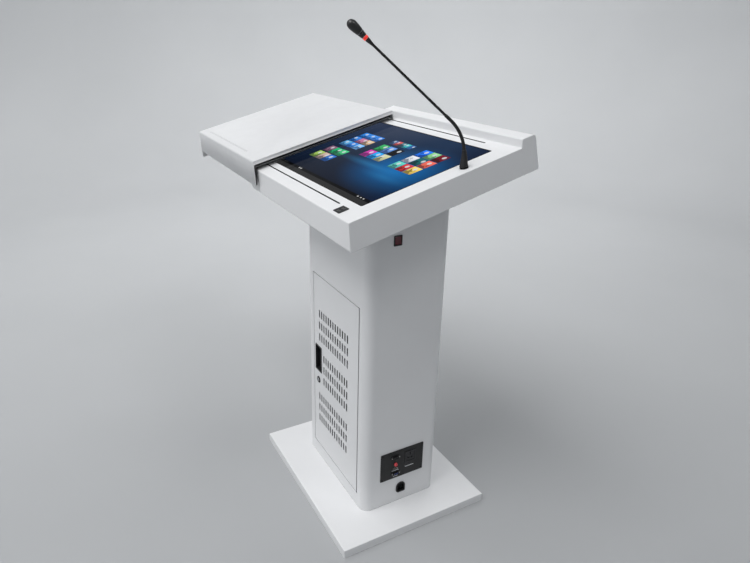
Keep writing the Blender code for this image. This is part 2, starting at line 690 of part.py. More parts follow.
def build_display(looks):
    glass_back = -0.0002 - GLASS_THICK
    add("display_glass",
        prism([rounded(rectangle(GLASS_X, GLASS_V), GLASS_CORNER, 4)], glass_back, -0.0002, "XY"),
        looks["glass"], DESK)
    module_x = (GLASS_X[0] + 0.024, GLASS_X[1] - 0.024)
    module_v = (GLASS_V[0] + 0.020, GLASS_V[1] - 0.016)
    top = glass_back - GAP
    add("display_module", box((module_x[0], module_v[0], top - 0.034), (module_x[1], module_v[1], top)),
        looks["black"], DESK)
    for side, edge, way in (("left", module_x[0], -1), ("right", module_x[1], 1)):
        near = edge + way * GAP
        far = edge + way * 0.034
        foot = near + way * 0.0015
        outline = [(near, top - 0.030), (foot, top - 0.030), (foot, top - 0.0030),
                   (far, top - 0.0030), (far, top - 0.0015), (near, top - 0.0015)]
        add(f"display_bracket_{side}",
            prism([outline], module_v[0] + 0.04, module_v[1] - 0.04, "XZ"), looks["steel"], DESK)


def build_usb_module(looks):
    low = (USB_X[0] + 0.0024, USB_V[0] + 0.0024, -0.020)
    high = (USB_X[1] - 0.0024, USB_V[1] - 0.0024, 0.0010)
    module = add("usb_module", box(low, high), looks["black"], DESK)
    join(module, box((USB_X[0], USB_V[0], GAP), (USB_X[1], USB_V[1], 0.0016)), DESK)
    middle_x = (USB_X[0] + USB_X[1]) / 2
    for offset in (-0.0065, 0.0065):
        centre_v = (USB_V[0] + USB_V[1]) / 2 + offset
        cut(module, box((middle_x - 0.0066, centre_v - 0.0028, -0.012),
                        (middle_x + 0.0066, centre_v + 0.0028, 0.01)), DESK)


# ---------------------------------------------------------------- cover and its slides
def track_outline(v, half, low, high, wall, mouth):
    """An upright C track in (V, W): closed below, with lips beside its mouth."""
    return [
        (v - half, low), (v + half, low), (v + half, high), (v + mouth, high),
        (v + mouth, high - wall), (v + half - wall, high - wall), (v + half - wall, low + wall),
        (v - half + wall, low + wall), (v - half + wall, high - wall),
        (v - mouth, high - wall), (v - mouth, high), (v - half, high),
    ]


def build_slides(looks, middle_joints, cover_joint):
    """Two telescopic slides under the guide slots: outer, middle and inner members."""
    left = -DESK_WIDTH / 2
    for side, v in SLOT_V.items():
        outer = track_outline(v, 0.0085, TRACK_TOP - 0.027, TRACK_TOP, 0.0015, 0.0035)
        add(f"slide_outer_{side}", prism([outer], left + 0.005, 0.2215, "YZ"), looks["steel"], DESK)
        middle = track_outline(v, 0.0064, TRACK_TOP - 0.0249, TRACK_TOP - 0.0023, 0.0013, 0.0026)
        start = left + 0.007 - COVER_TRAVEL / 2
        add(f"slide_middle_{side}", prism([middle], start, start + 0.562, "YZ"), looks["steel"],
            DESK, middle_joints[side])
        bar_low, bar_high = TRACK_TOP - 0.0228, TRACK_TOP - 0.0048
        under = COVER_TOP - COVER_SHEET - GAP
        inner = [
            (-0.0043, bar_low), (0.0043, bar_low), (0.0043, bar_high), (0.001, bar_high),
            (0.001, under - 0.0015), (0.010, under - 0.0015), (0.010, under), (-0.001, under),
            (-0.001, bar_high), (-0.0043, bar_high),
        ]
        inward = 1 if side == "front" else -1
        inner = [(v + inward * across, height) for across, height in inner]
        start = left + 0.007 - COVER_TRAVEL
        add(f"slide_inner_{side}", prism([inner], start, start + 0.5625, "YZ"), looks["steel"],
            DESK, cover_joint)


def build_cover(looks, joint):
    """The sliding cover: top, front skirt, rear lip and a deeper left end wall."""
    lean = Vector((DESK_LEAN, DESK_DROP)).normalized()
    skirt_foot = (COVER_FRONT - COVER_SKIRT * lean.x, COVER_TOP - COVER_SKIRT * lean.y)
    lip = 0.0015
    profile = [skirt_foot, (COVER_BACK, lip), (COVER_BACK, COVER_TOP), (COVER_FRONT, COVER_TOP)]
    shell = add(
        "cover_shell",
        prism([rounded(profile, [0, 0, 0.003, 0.003], 3)],
              COVER_LEFT + COVER_SHEET - 0.0001, COVER_RIGHT, "YZ"),
        looks["white"], DESK, joint, round_sides=True,
    )
    sheet = COVER_SHEET
    below = 0.04
    inner_foot = (skirt_foot[0] + sheet - below * lean.x, skirt_foot[1] - below * lean.y)
    inner = [
        inner_foot, (COVER_BACK - sheet, -0.10), (COVER_BACK - sheet, COVER_TOP - sheet),
        (COVER_FRONT + sheet * (1 - lean.x), COVER_TOP - sheet),
    ]
    end_foot = skirt_foot[1] - COVER_END_DROP
    end_wall = [
        (skirt_foot[0] - COVER_END_DROP * lean.x, end_foot), (COVER_BACK, end_foot),
        (COVER_BACK, COVER_TOP), (COVER_FRONT, COVER_TOP),
    ]
    cut(shell, prism([inner], COVER_LEFT + sheet, COVER_RIGHT - sheet, "YZ"), DESK, joint)
    lip_foot = COVER_TOP - COVER_LIP
    lip_front = COVER_FRONT + sheet - COVER_LIP * lean.x / lean.y
    open_end = [inner_foot, (COVER_BACK - sheet, -0.10), (COVER_BACK - sheet, lip_foot),
                (lip_front, lip_foot)]
    cut(shell, prism([open_end], COVER_RIGHT - 0.004, COVER_RIGHT + 0.01, "YZ"), DESK, joint)
    join(shell, prism([rounded(end_wall, [0.006, 0.006, 0.003, 0.003], 3)],
                      COVER_LEFT, COVER_LEFT + COVER_SHEET, "YZ"), DESK, joint)
    groove = rounded(rectangle(GROOVE_X, (GROOVE_V - 0.0025, GROOVE_V + 0.0025)), 0.0024, 3)
    cut(shell, prism([groove], COVER_TOP - GROOVE_DEEP, COVER_TOP + 0.01, "XY"), DESK, joint)


# ---------------------------------------------------------------- microphone
def mic_foot():
    return DESK @ Vector((MIC_X, MIC_V, 0.0))


def neck_plane(ahead, above):
    """A point in the upright plane that the neck bends in."""
    lean = Vector((-math.sin(MIC_HEADING), -math.cos(MIC_HEADING), 0.0))
    return mic_foot() + lean * ahead + Vector((0, 0, above))


def neck_point(distance):
    """The neck's centre line: a short rise, an arc forwards, then a straight stem."""
    ahead, above = NECK_START
    first = min(distance, NECK_STRAIGHT)
    ahead += first * math.cos(NECK_RISE)
    above += first * math.sin(NECK_RISE)
    bend_radius = NECK_ARC / (NECK_RISE - NECK_END)
    turned_by = max(0.0, min(distance - NECK_STRAIGHT, NECK_ARC)) / bend_radius
    angle = NECK_RISE - turned_by
    ahead += bend_radius * (math.sin(NECK_RISE) - math.sin(angle))
    above += bend_radius * (math.cos(angle) - math.cos(NECK_RISE))
    last = max(0.0, distance - NECK_STRAIGHT - NECK_ARC)
    ahead += last * math.cos(NECK_END)
    above += last * math.sin(NECK_END)
    return neck_plane(ahead, above)


def build_microphone(looks, joints):
    """Socket, rubber boot, a jointed flexible neck, the stem and the head."""
    seat = DESK @ Matrix.Translation((MIC_X, MIC_V, 0.0))
    turned("mic_socket", [
        (0.0, 0.0022), (0.0125, 0.0022), (0.0135, 0.0014), (0.0135, GAP), (0.0100, GAP),
        (0.0100, -0.0240), (0.0, -0.0240),
    ], looks["black"], seat)

    normal = (DESK.to_3x3() @ Vector((0, 0, 1))).normalized()
    tangent = (neck_point(0.001) - neck_point(0.0)).normalized()
    start = mic_foot() + normal * (BOOT_SEAT + BOOT_RIM)
    end = neck_point(0.0) - tangent * BOOT_RIM
    reach = (end - start).length / 3
    one, two = start + (end - start) / 3, end - tangent * reach
    points, radii = [mic_foot() + normal * BOOT_SEAT], [BOOT_RADII[0]]
    count = 8
    for step in range(count + 1):
        t = step / count
        points.append(start * (1 - t) ** 3 + one * 3 * t * (1 - t) ** 2
                      + two * 3 * t * t * (1 - t) + end * t ** 3)
        radii.append(BOOT_RADII[0] + (BOOT_RADII[1] - BOOT_RADII[0]) * t ** 0.8)
    tube("mic_boot", points + [neck_point(0.0)], radii + [BOOT_RADII[1]], looks["rubber"])

    breaks = [GAP] + list(NECK_JOINTS) + [NECK_STRAIGHT + NECK_ARC + STEM_LENGTH]
    names = ["mic_neck_collar", "mic_neck_link_1", "mic_neck_link_2", "mic_neck_link_3",
             "mic_stem"]
    for index, name in enumerate(names):
        start = breaks[index] + (NECK_CLEAR if index else 0.0)
        last = name == "mic_stem"
        end = breaks[index + 1] - (0.0 if last else NECK_CLEAR)
        steps = 10 if last else 5
        places = [start + (end - start) * step / steps for step in range(steps + 1)]
        radii = [NECK_RADIUS] * len(places)
        if last:
            slim = NECK_STRAIGHT + NECK_ARC + 0.024
            places = [start, start + 0.006, slim - 0.004, slim, end - STEM_CONE, end]
            radii = [NECK_RADIUS] * 3 + [STEM_RADIUS] * 2 + [RING_RADIUS - 0.0012]
        tube(name, [neck_point(place) for place in places], radii, looks["rubber"],
             joints[index])

    head = neck_point(NECK_STRAIGHT + NECK_ARC + STEM_LENGTH)
    along = (neck_point(NECK_STRAIGHT + NECK_ARC + HEAD_LENGTH) - head).normalized()
    frame = Matrix.Translation(head) @ along.to_track_quat("Z", "Y").to_matrix().to_4x4()
    turned("mic_light_ring", [
        (0.0, 0.0078), (RING_RADIUS - 0.0005, 0.0078), (RING_RADIUS, 0.0072),
        (RING_RADIUS, 0.0009), (RING_RADIUS - 0.0006, GAP), (0.0, GAP),
    ], looks["red"], frame, joints[-1])
    length = HEAD_LENGTH - STEM_LENGTH
    turned("mic_capsule", [
        (0.0, CAPSULE_END), (0.0090, CAPSULE_END), (0.0094, CAPSULE_END - 0.0008),
        (0.0076, 0.0092), (0.0070, 0.0081), (0.0, 0.0081),
    ], looks["black"], frame, joints[-1])
    dome, steps = 0.015, 7
    profile = []
    for step in range(steps + 1):
        angle = math.pi / 2 * step / steps
        profile.append((WINDSCREEN_RADIUS * math.sin(angle), length - dome * (1 - math.cos(angle))))
    foot = CAPSULE_END + GAP
    profile += [(0.0118, foot + 0.018), (0.0103, foot + 0.006), (0.0092, foot), (0.0, foot)]
    turned("mic_windscreen", profile, looks["black"], frame, joints[-1])


# ---------------------------------------------------------------- whole object
def build_joints():
    """The empties that the moving pieces hang on, one for each joint's axis."""
    hinge = pivot("door_axis", (*DOOR_AXIS, (DOOR_Z[0] + DOOR_Z[1]) / 2))
    lock = pivot("lock_axis", (LOCK_CENTRE[0], FACE_Y, LOCK_CENTRE[1]), parent=hinge)
    switch = pivot("switch_axis", (SIDE_X - 0.004, *SWITCH_CENTRE))
    cover = pivot("cover_slide", (COVER_RIGHT, 0.25, COVER_TOP), DESK)
    middles = {
        side: pivot(f"slide_{side}_travel", (-0.35, v, TRACK_TOP), DESK)
        for side, v in SLOT_V.items()
    }
    neck = [pivot("mic_swivel", neck_point(0.0))]
    for index, distance in enumerate(NECK_JOINTS, 1):
        neck.append(pivot(f"mic_bend_{index}", neck_point(distance), parent=neck[-1]))
    return hinge, lock, switch, cover, middles, neck


def main():
    global PARTS, CUTTERS
    clear_scene()
    PARTS = new_collection("lectern_stand")
    CUTTERS = new_collection("cutters")
    looks = {
        "white": finish("white_powder_coat", (0.83, 0.83, 0.84), 0.42),
        "steel": finish("zinc_plated_steel", (0.58, 0.58, 0.60), 0.38, 1.0),
        "board": finish("base_board", (0.30, 0.21, 0.13), 0.80),
        "chrome": finish("chrome", (0.80, 0.80, 0.82), 0.12, 1.0),
        "nickel": finish("nickel", (0.66, 0.65, 0.62), 0.28, 1.0),
        "black": finish("black_plastic", (0.012, 0.012, 0.014), 0.45),
        "rubber": finish("black_rubber", (0.014, 0.014, 0.014), 0.70),
        "red": finish("red_plastic", (0.32, 0.012, 0.012), 0.30),
        "glass": finish("display_glass", (0.010, 0.022, 0.060), 0.06),
    }
    hinge, lock, switch, cover, middles, neck = build_joints()
    build_base(looks)
    build_column(looks)
    build_shelves(looks)
    build_door(looks, hinge)
    build_lock(looks, hinge, lock)
    build_switch(looks, switch)
    build_sockets(looks)
    build_desk(looks)
    build_display(looks)
    build_usb_module(looks)
    build_slides(looks, middles, cover)
    build_cover(looks, cover)
    build_microphone(looks, neck)
    bpy.context.view_layer.update()


main()
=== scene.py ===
"""Looks of the multimedia lectern stand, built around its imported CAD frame.

Metres, in the frame's own axes: X to the speaker's right, Y away from the speaker, Z up.
Everything on the sloping desk is drawn in the desk's frame: X across, V up the slope and
W out of it.  Each visible sheet, moulding and fitting is modelled here in fine mesh work;
the plain steel pieces inside keep their CAD shape and get a material.
"""
import math

import bmesh
import bpy
from mathutils import Matrix, Vector


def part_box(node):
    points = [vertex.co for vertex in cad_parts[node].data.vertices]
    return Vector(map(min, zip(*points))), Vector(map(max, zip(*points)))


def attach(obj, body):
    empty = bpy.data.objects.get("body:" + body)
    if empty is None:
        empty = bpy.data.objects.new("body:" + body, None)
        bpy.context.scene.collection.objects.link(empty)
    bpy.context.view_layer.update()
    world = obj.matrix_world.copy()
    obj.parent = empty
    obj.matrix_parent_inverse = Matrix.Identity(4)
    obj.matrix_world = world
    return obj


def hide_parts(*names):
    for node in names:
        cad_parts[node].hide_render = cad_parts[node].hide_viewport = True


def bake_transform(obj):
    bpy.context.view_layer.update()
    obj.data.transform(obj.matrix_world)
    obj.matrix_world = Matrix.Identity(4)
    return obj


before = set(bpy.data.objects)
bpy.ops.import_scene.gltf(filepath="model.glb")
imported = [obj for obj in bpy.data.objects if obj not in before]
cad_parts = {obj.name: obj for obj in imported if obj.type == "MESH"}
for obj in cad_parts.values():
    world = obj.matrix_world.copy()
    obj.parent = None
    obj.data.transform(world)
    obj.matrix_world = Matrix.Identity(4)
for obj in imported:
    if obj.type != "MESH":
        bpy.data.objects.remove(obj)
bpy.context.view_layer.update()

# -------------------- sizes
# Most are the CAD's own.  The vents, the door's gaps and trim, the cover's lip and the
# microphone's stem differ from it by less than 2.5 mm, to match the photograph.
WORLD = Matrix.Identity(4)
DESK_SLOPE = math.radians(14.7)
DESK = Matrix.Translation((0.0, -0.276, 1.066)) @ Matrix.Rotation(DESK_SLOPE, 4, "X")

GAP = 0.0003                          # the air between two pieces that all but touch
CLEAR = 0.01                          # how far a cutting shape runs on past its piece
BASE_SHEET, BOLT_HOLE = 0.002, 0.0056
COLUMN_CORNER, COLUMN_SHEET = 0.03, 0.0015
DOOR_GAP, DOOR_HINGE_GAP, DOOR_TRIM = 0.0024, 0.0047, 0.0007
VENT_WIDTH, VENT_HEIGHT = 0.008, 0.03
VENT_PITCH_X, VENT_PITCH_Z, VENT_ROWS = 0.0167, 0.0435, 3
# Groups of vents: (middle height, last vent's X, number of columns).
VENT_GROUPS = ((0.556, 0.0885, 13), (0.397, 0.0867, 11), (0.234, 0.085, 13))
ROCKER_TILT = math.radians(8)
USB_HOLE = (0.0134, 0.0058)

DESK_SHEET, DESK_LENGTH, DESK_DROP, DESK_LEAN = 0.002, 0.582, 0.0765, 0.014
RIDGE_FOOT, RIDGE_TOP, RIDGE_RISE = 0.531, 0.5355, 0.0235
PAN_FRONT, PAN_BREAK, PAN_BACK = 0.05, 0.41, 0.5
SLOT_V, SLOT_HALF, SLOT_RIGHT = (0.0425, 0.5125), 0.0025, 0.2245

COVER_SKIRT, COVER_END_DROP, COVER_LIP, COVER_SHEET = 0.08, 0.025, 0.0125, 0.002
COVER_FRONT, COVER_BACK, COVER_TOP = -0.0085, 0.5185, 0.0334
GROOVE_X, GROOVE_V, GROOVE_HALF, GROOVE_DEEP = (-0.841, -0.399), 0.0195, 0.0034, 0.0013
# The skirt and the lip lean as the desk's front face does.
COVER_LEAN = Vector((DESK_LEAN, DESK_DROP)).normalized()
COVER_FOOT = (COVER_FRONT - COVER_SKIRT * COVER_LEAN.x, COVER_TOP - COVER_SKIRT * COVER_LEAN.y)
LIP_FOOT, LIP_RUN = COVER_TOP - COVER_LIP, COVER_LIP * COVER_LEAN.x / COVER_LEAN.y

MIC_PLACE, MIC_HEADING = (0.3205, 0.362, 0.0), math.radians(30)
MIC_FOOT = DESK @ Vector(MIC_PLACE)
BEND_AXIS = Vector((math.cos(MIC_HEADING), -math.sin(MIC_HEADING), 0.0))
NECK_START = (0.0034, 0.0465)
NECK_RISE, NECK_END = math.radians(80), math.radians(41.7)
NECK_STRAIGHT, NECK_ARC = 0.0065, 0.078
NECK_RADIUS, STEM_RADIUS = 0.0044, 0.0034
NECK_JOINTS = (0.012, 0.038, 0.064, 0.09)
STEM_LENGTH, HEAD_LENGTH, STEM_CONE = 0.2868, 0.3488, 0.022
STEM_START = NECK_STRAIGHT + NECK_ARC + 0.02
STEM_END = NECK_STRAIGHT + NECK_ARC + STEM_LENGTH
BOOT_SEAT, BOOT_RADII = 0.0034, (0.0118, 0.0056)
RING_RADIUS, WINDSCREEN_RADIUS, CAPSULE_END = 0.0071, 0.01225, 0.0215

AXES = {"XY": (0, 1), "YZ": (1, 2), "XZ": (0, 2)}
PLANES = {
    "XY": Matrix(((1, 0, 0), (0, 1, 0), (0, 0, 1))),
    "YZ": Matrix(((0, 0, 1), (1, 0, 0), (0, 1, 0))),
    "XZ": Matrix(((1, 0, 0), (0, 0, -1), (0, 1, 0))),
}


# -------------------- outlines
def rectangle(a, b):
    return [(a[0], b[0]), (a[1], b[0]), (a[1], b[1]), (a[0], b[1])]


def centred(centre, size):
    return rectangle(*[(at - length / 2, at + length / 2) for at, length in zip(centre, size)])


def rounded(corners, radii, steps=6):
    """An outline whose corners are arcs; a radius of zero leaves a corner sharp."""
    if not isinstance(radii, (list, tuple)):
        radii = [radii] * len(corners)
    outline = []
    for index, (corner, radius) in enumerate(zip(corners, radii)):
        here = Vector(corner)
        if radius == 0:
            outline.append(tuple(here))
            continue
        back = (Vector(corners[index - 1]) - here).normalized()
        ahead = (Vector(corners[(index + 1) % len(corners)]) - here).normalized()
        half = math.acos(max(-1.0, min(1.0, back.dot(ahead)))) / 2
        hub = here + (back + ahead).normalized() * radius / math.sin(half)
        begin = here + back * radius / math.tan(half) - hub
        end = here + ahead * radius / math.tan(half) - hub
        sweep = begin.angle_signed(end)
        for step in range(steps + 1):
            turned_by = -sweep * step / steps
            cosine, sine = math.cos(turned_by), math.sin(turned_by)
            spoke = Vector((begin.x * cosine - begin.y * sine, begin.x * sine + begin.y * cosine))
            outline.append(tuple(hub + spoke))
    return outline


def face(low, high, plane, inset=0.0, radii=0.0, steps=5):
    """A box's outline in a plane, drawn in by an inset and with rounded corners."""
    spans = [(low[axis] + inset, high[axis] - inset) for axis in AXES[plane]]
    return rounded(rectangle(*spans), radii, steps)


def middle(low, high, plane):
    """The middle of a box, seen square to a plane."""
    return [(low[axis] + high[axis]) / 2 for axis in AXES[plane]]


def circle(centre, radius, sides=32):
    angles = [2 * math.pi * step / sides for step in range(sides)]
    return [(centre[0] + radius * math.cos(angle), centre[1] + radius * math.sin(angle))
            for angle in angles]


# -------------------- meshes
def mesh_of(shape):
    """Closes a bmesh into a mesh, with its faces pointing out."""
    bmesh.ops.recalc_face_normals(shape, faces=shape.faces)
    mesh = bpy.data.meshes.new("shape")
    shape.to_mesh(mesh)
    shape.free()
    return mesh


def loft(loops, joined=False, open_top=False):
    """A skin over closed loops of points, capped at its ends or joined into a ring."""
    shape = bmesh.new()
    rows = [[shape.verts.new(point) for point in loop] for loop in loops]
    pairs = list(zip(rows, rows[1:]))
    if joined:
        pairs.append((rows[-1], rows[0]))
    for near, far in pairs:
        for index in range(len(near)):
            after = (index + 1) % len(near)
            shape.faces.new((near[index], near[after], far[after], far[index]))
    if not joined:
        shape.faces.new(rows[0])
        if not open_top:
            shape.faces.new(rows[-1])
    return mesh_of(shape)


def turned(profile, place=WORLD, sides=32, **ends):
    """A turned shape: (radius, height) pairs about the Z axis of a place."""
    return loft([[place @ Vector((a, b, height)) for a, b in circle((0, 0), radius, sides)]
                 for radius, height in profile], **ends)


def block(low, high, edge=0.0, segments=3):
    """A block between two corners, with rounded edges."""
    low, high = Vector(low), Vector(high)
    shape = bmesh.new()
    bmesh.ops.create_cube(shape, size=1.0)
    fit = Matrix.Translation((low + high) / 2) @ Matrix.Diagonal((*(high - low), 1.0))
    bmesh.ops.transform(shape, matrix=fit, verts=shape.verts)
    if edge:
        bmesh.ops.bevel(shape, geom=shape.edges, offset=edge, segments=segments, profile=0.5,
                        affect="EDGES")
    return mesh_of(shape)


def slab(outlines, low, high, plane, edge=0.0):
    """Flat outlines with holes, extruded across their plane, with every rim rounded."""
    curve = bpy.data.curves.new("outline", "CURVE")
    curve.dimensions = "2D"
    curve.fill_mode = "BOTH"
    curve.extrude = abs(high - low) / 2 - edge
    if edge:
        curve.bevel_depth = edge
        curve.bevel_resolution = 1
        curve.offset = -edge
    for outline in outlines:
        spline = curve.splines.new("POLY")
        spline.points.add(len(outline) - 1)
        for point, (a, b) in zip(spline.points, outline):
            point.co = (a, b, 0.0, 1.0)
        spline.use_cyclic_u = True
    holder = bpy.data.objects.new("outline", curve)
    bpy.context.scene.collection.objects.link(holder)
    bpy.context.view_layer.update()
    view = bpy.context.evaluated_depsgraph_get()
    mesh = bpy.data.meshes.new_from_object(holder.evaluated_get(view))
    bpy.data.objects.remove(holder, do_unlink=True)
    shape = bmesh.new()
    shape.from_mesh(mesh)
    bmesh.ops.remove_doubles(shape, verts=shape.verts, dist=0.000005)
    across = (low + high) / (-2 if plane == "XZ" else 2)
    turn = PLANES[plane].to_4x4() @ Matrix.Translation((0, 0, across))
    bmesh.ops.transform(shape, matrix=turn, verts=shape.verts)
    return mesh_of(shape)


def hose(path, radii, sides=28):
    """A round bar along points that lie square to the neck's bend axis, a radius at each."""
    loops = []
    for index, (place, radius) in enumerate(zip(path, radii)):
        ahead = path[min(index + 1, len(path) - 1)] - path[max(index - 1, 0)]
        across = ahead.normalized().cross(BEND_AXIS)
        loops.append([place + BEND_AXIS * a + across * b
                      for a, b in circle((0, 0), radius, sides)])
    return loft(loops)


def merged(*meshes):
    """Several closed shapes of one piece, in one mesh."""
    shape = bmesh.new()
    for mesh in meshes:
        shape.from_mesh(mesh)
    return mesh_of(shape)


# -------------------- pieces
def settle(obj):
    """Applies an object's modifiers."""
    bpy.context.view_layer.update()
    view = bpy.context.evaluated_depsgraph_get()
    mesh = bpy.data.meshes.new_from_object(obj.evaluated_get(view))
    obj.modifiers.clear()
    obj.data = mesh


def start(name, mesh, place=WORLD):
    obj = bpy.data.objects.new(name, mesh)
    bpy.context.scene.collection.objects.link(obj)
    obj.matrix_world = place
    return obj


def carve(obj, mesh, place=None, operation="DIFFERENCE"):
    """Cuts a shape out of a piece."""
    tool = start("tool", mesh, obj.matrix_world if place is None else place)
    boolean = obj.modifiers.new("carve", "BOOLEAN")
    boolean.operation = operation
    boolean.object = tool
    settle(obj)
    bpy.data.objects.remove(tool, do_unlink=True)


def weld(obj, mesh):
    """Joins a shape on to a piece."""
    carve(obj, mesh, operation="UNION")


def smooth(obj, edge=0.0, sharp=38, segments=3):
    """Rounds the edges sharper than an angle, and shades curves smooth and flats flat."""
    if edge:
        bevel = obj.modifiers.new("edges", "BEVEL")
        bevel.width = edge
        bevel.segments = segments
        bevel.limit_method = "ANGLE"
        bevel.angle_limit = math.radians(sharp)
        bevel.use_clamp_overlap = True
        settle(obj)
    obj.data.shade_smooth()
    obj.data.set_sharp_from_angle(angle=math.radians(50))
    weighted = obj.modifiers.new("normals", "WEIGHTED_NORMAL")
    weighted.keep_sharp = True
    settle(obj)


def squared(obj):
    """Moves a tilted piece's placing into its mesh, so that its box is the true one."""
    obj.data.transform(obj.matrix_world)
    obj.matrix_world = WORLD


def paint(mesh, material):
    mesh.materials.clear()
    mesh.materials.append(material)


def finish(obj, look, body="stand", nodes=(), edge=0.0, sharp=38, segments=3):
    """Smooths a shape, gives it its look's material and its body, and hides the CAD nodes it
    replaces.
    """
    smooth(obj, edge, sharp, segments)
    material, slot = LOOKS[look]
    paint(obj.data, material)
    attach(obj, body)
    if nodes:
        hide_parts(*nodes)
    return obj


def piece(name, mesh, look, body="stand", nodes=(), place=WORLD):
    """A whole piece in one go."""
    return finish(start(name, mesh, place), look, body, nodes)


def span(node, place=WORLD):
    """A CAD node's lowest and highest corners, measured along the axes of a place."""
    back = place.inverted()
    points = [back @ vertex.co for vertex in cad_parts[node].data.vertices]
    return [Vector([pick(point[axis] for point in points) for axis in range(3)])
            for pick in (min, max)]


# -------------------- materials
class Look:
    """A Principled material, and the nodes that shape its colour, gloss and relief."""

    def __init__(self, name, colour, roughness, metallic=0.0):
        self.material = bpy.data.materials.new(name)
        self.material.use_nodes = True
        self.tree = self.material.node_tree
        self.shader = self.tree.nodes["Principled BSDF"]
        self.place = self.add("ShaderNodeTexCoord").outputs["Object"]
        self.set("Base Color", (*colour, 1.0))
        self.set("Roughness", roughness)
        self.set("Metallic", metallic)

    def feed(self, socket, value):
        if isinstance(value, bpy.types.NodeSocket):
            self.tree.links.new(value, socket)
        else:
            socket.default_value = value

    def add(self, kind, inputs=None, **settings):
        node = self.tree.nodes.new(kind)
        for key, value in settings.items():
            setattr(node, key, value)
        for key, value in (inputs or {}).items():
            self.feed(node.inputs[key], value)
        return node

    def set(self, socket, value):
        self.feed(self.shader.inputs[socket], value)

    def stretched(self, scale):
        return self.add("ShaderNodeMapping", {"Vector": self.place, "Scale": scale}).outputs[0]

    def noise(self, scale, detail=2.0, place=None):
        return self.add("ShaderNodeTexNoise", {
            "Vector": place or self.place, "Scale": scale, "Detail": detail, "Roughness": 0.55,
        }).outputs["Fac"]

    def cells(self, scale):
        return self.add("ShaderNodeTexVoronoi",
                        {"Vector": self.place, "Scale": scale}).outputs["Distance"]

    def remap(self, value, low, high, new_low, new_high):
        return self.add("ShaderNodeMapRange", {
            "Value": value, "From Min": low, "From Max": high, "To Min": new_low,
            "To Max": new_high,
        }).outputs["Result"]

    def clouds(self, scale, detail, low=0.0, high=1.0):
        """A noise's middle levels, spread between two values."""
        return self.remap(self.noise(scale, detail), 0.3, 0.7, low, high)

    def math(self, operation, a, b=0.0):
        return self.add("ShaderNodeMath", {0: a, 1: b}, operation=operation).outputs[0]

    def mix(self, factor, a, b, way="MIX"):
        a, b = [(*c, 1.0) if isinstance(c, tuple) else c for c in (a, b)]
        return self.add("ShaderNodeMix", {0: factor, 6: a, 7: b}, data_type="RGBA",
                        blend_type=way).outputs[2]

    def colour(self, factor, a, b):
        self.set("Base Color", self.mix(factor, a, b))

    def bump(self, height, distance, strength, after=None):
        inputs = {"Height": height, "Distance": distance, "Strength": strength}
        if after:
            inputs["Normal"] = after
        normal = self.add("ShaderNodeBump", inputs).outputs["Normal"]
        self.set("Normal", normal)
        return normal

    def rubbed_and_lit_edges(self):
        """One on a piece's outer edges, where hands and cloths rub and where a painted edge
        highlight lightens them, and zero elsewhere.
        """
        bare = self.add("ShaderNodeNewGeometry").outputs["Pointiness"]
        edges = self.remap(bare, 0.53, 0.62, 0.0, 1.0)
        return self.math("MULTIPLY", edges, self.remap(self.noise(35, 3), 0.35, 0.65, 0.2, 1.0))

    def done(self, slot):
        """The look that pieces take: a material and the name of its slot."""
        return self.material, slot


def tone(colour, factor):
    return tuple(channel * factor for channel in colour)


def powder_coat(name, colour):
    """Satin powder paint: faint clouding, orange peel, rubbed edges with a painted edge highlight,
    painted shade in the creases.
    """
    look = Look(name, colour, 0.4)
    cloud = look.clouds(3.0, 4)
    base = look.mix(cloud, tone(colour, 0.965), colour)
    speck = look.remap(look.noise(950, 1), 0.62, 0.8, 0.0, 0.1)
    base = look.mix(speck, base, tone(colour, 0.8))
    # Outer edges a little lighter: rubbed wear, and partly a painted highlight along the edges.
    base = look.mix(look.math("MULTIPLY", look.rubbed_and_lit_edges(), 0.5), base, tone(colour, 1.05))
    # Painted shade: the ambient-occlusion value darkens the colour towards near black in creases,
    # gaps and recesses.
    open_sky = look.add("ShaderNodeAmbientOcclusion", {"Distance": 0.006}, samples=6)
    painted_crease_shade = look.remap(open_sky.outputs["AO"], 0.12, 0.5, 0.93, 0.0)
    look.colour(painted_crease_shade, base, tone(colour, 0.035))
    gloss = look.clouds(11, 3, 0.36, 0.47)
    look.set("Roughness", look.math("SUBTRACT", gloss, look.math("MULTIPLY", cloud, 0.03)))
    peel = look.bump(look.noise(520, 2), 0.00006, 0.45)
    look.bump(look.noise(2600, 1), 0.00002, 0.3, peel)
    return look.done("white_coat")


def plated_steel():
    look = Look("zinc_plated_steel", (0.5, 0.51, 0.53), 0.36, 1.0)
    grain = look.noise(1.0, 3, look.stretched((6, 260, 260)))
    spangle = look.remap(look.cells(90), 0.0, 0.8, 0.0, 1.0)
    base = look.mix(spangle, (0.44, 0.45, 0.47), (0.58, 0.58, 0.6))
    stain = look.remap(look.noise(25, 4), 0.55, 0.75, 0.0, 0.4)
    look.colour(stain, base, (0.36, 0.35, 0.33))
    look.set("Roughness", look.remap(grain, 0.25, 0.75, 0.26, 0.48))
    look.bump(grain, 0.00006, 0.5)
    return look.done("plated_steel")


def slide_steel():
    """Near-black steel with the oily sheen of a drawer slide, dark so as to paint the shade seen
    down the desk's guide slots.
    """
    look = Look("dark_steel_slot_shade", (0.03, 0.03, 0.032), 0.42, 0.7)
    oil = look.remap(look.noise(45, 4), 0.35, 0.7, 0.0, 1.0)
    look.colour(oil, (0.018, 0.018, 0.02), (0.055, 0.054, 0.052))
    look.set("Roughness", look.remap(oil, 0.0, 1.0, 0.52, 0.32))
    look.bump(look.noise(1.0, 2, look.stretched((25, 700, 700))), 0.00005, 0.4)
    return look.done("plated_steel")


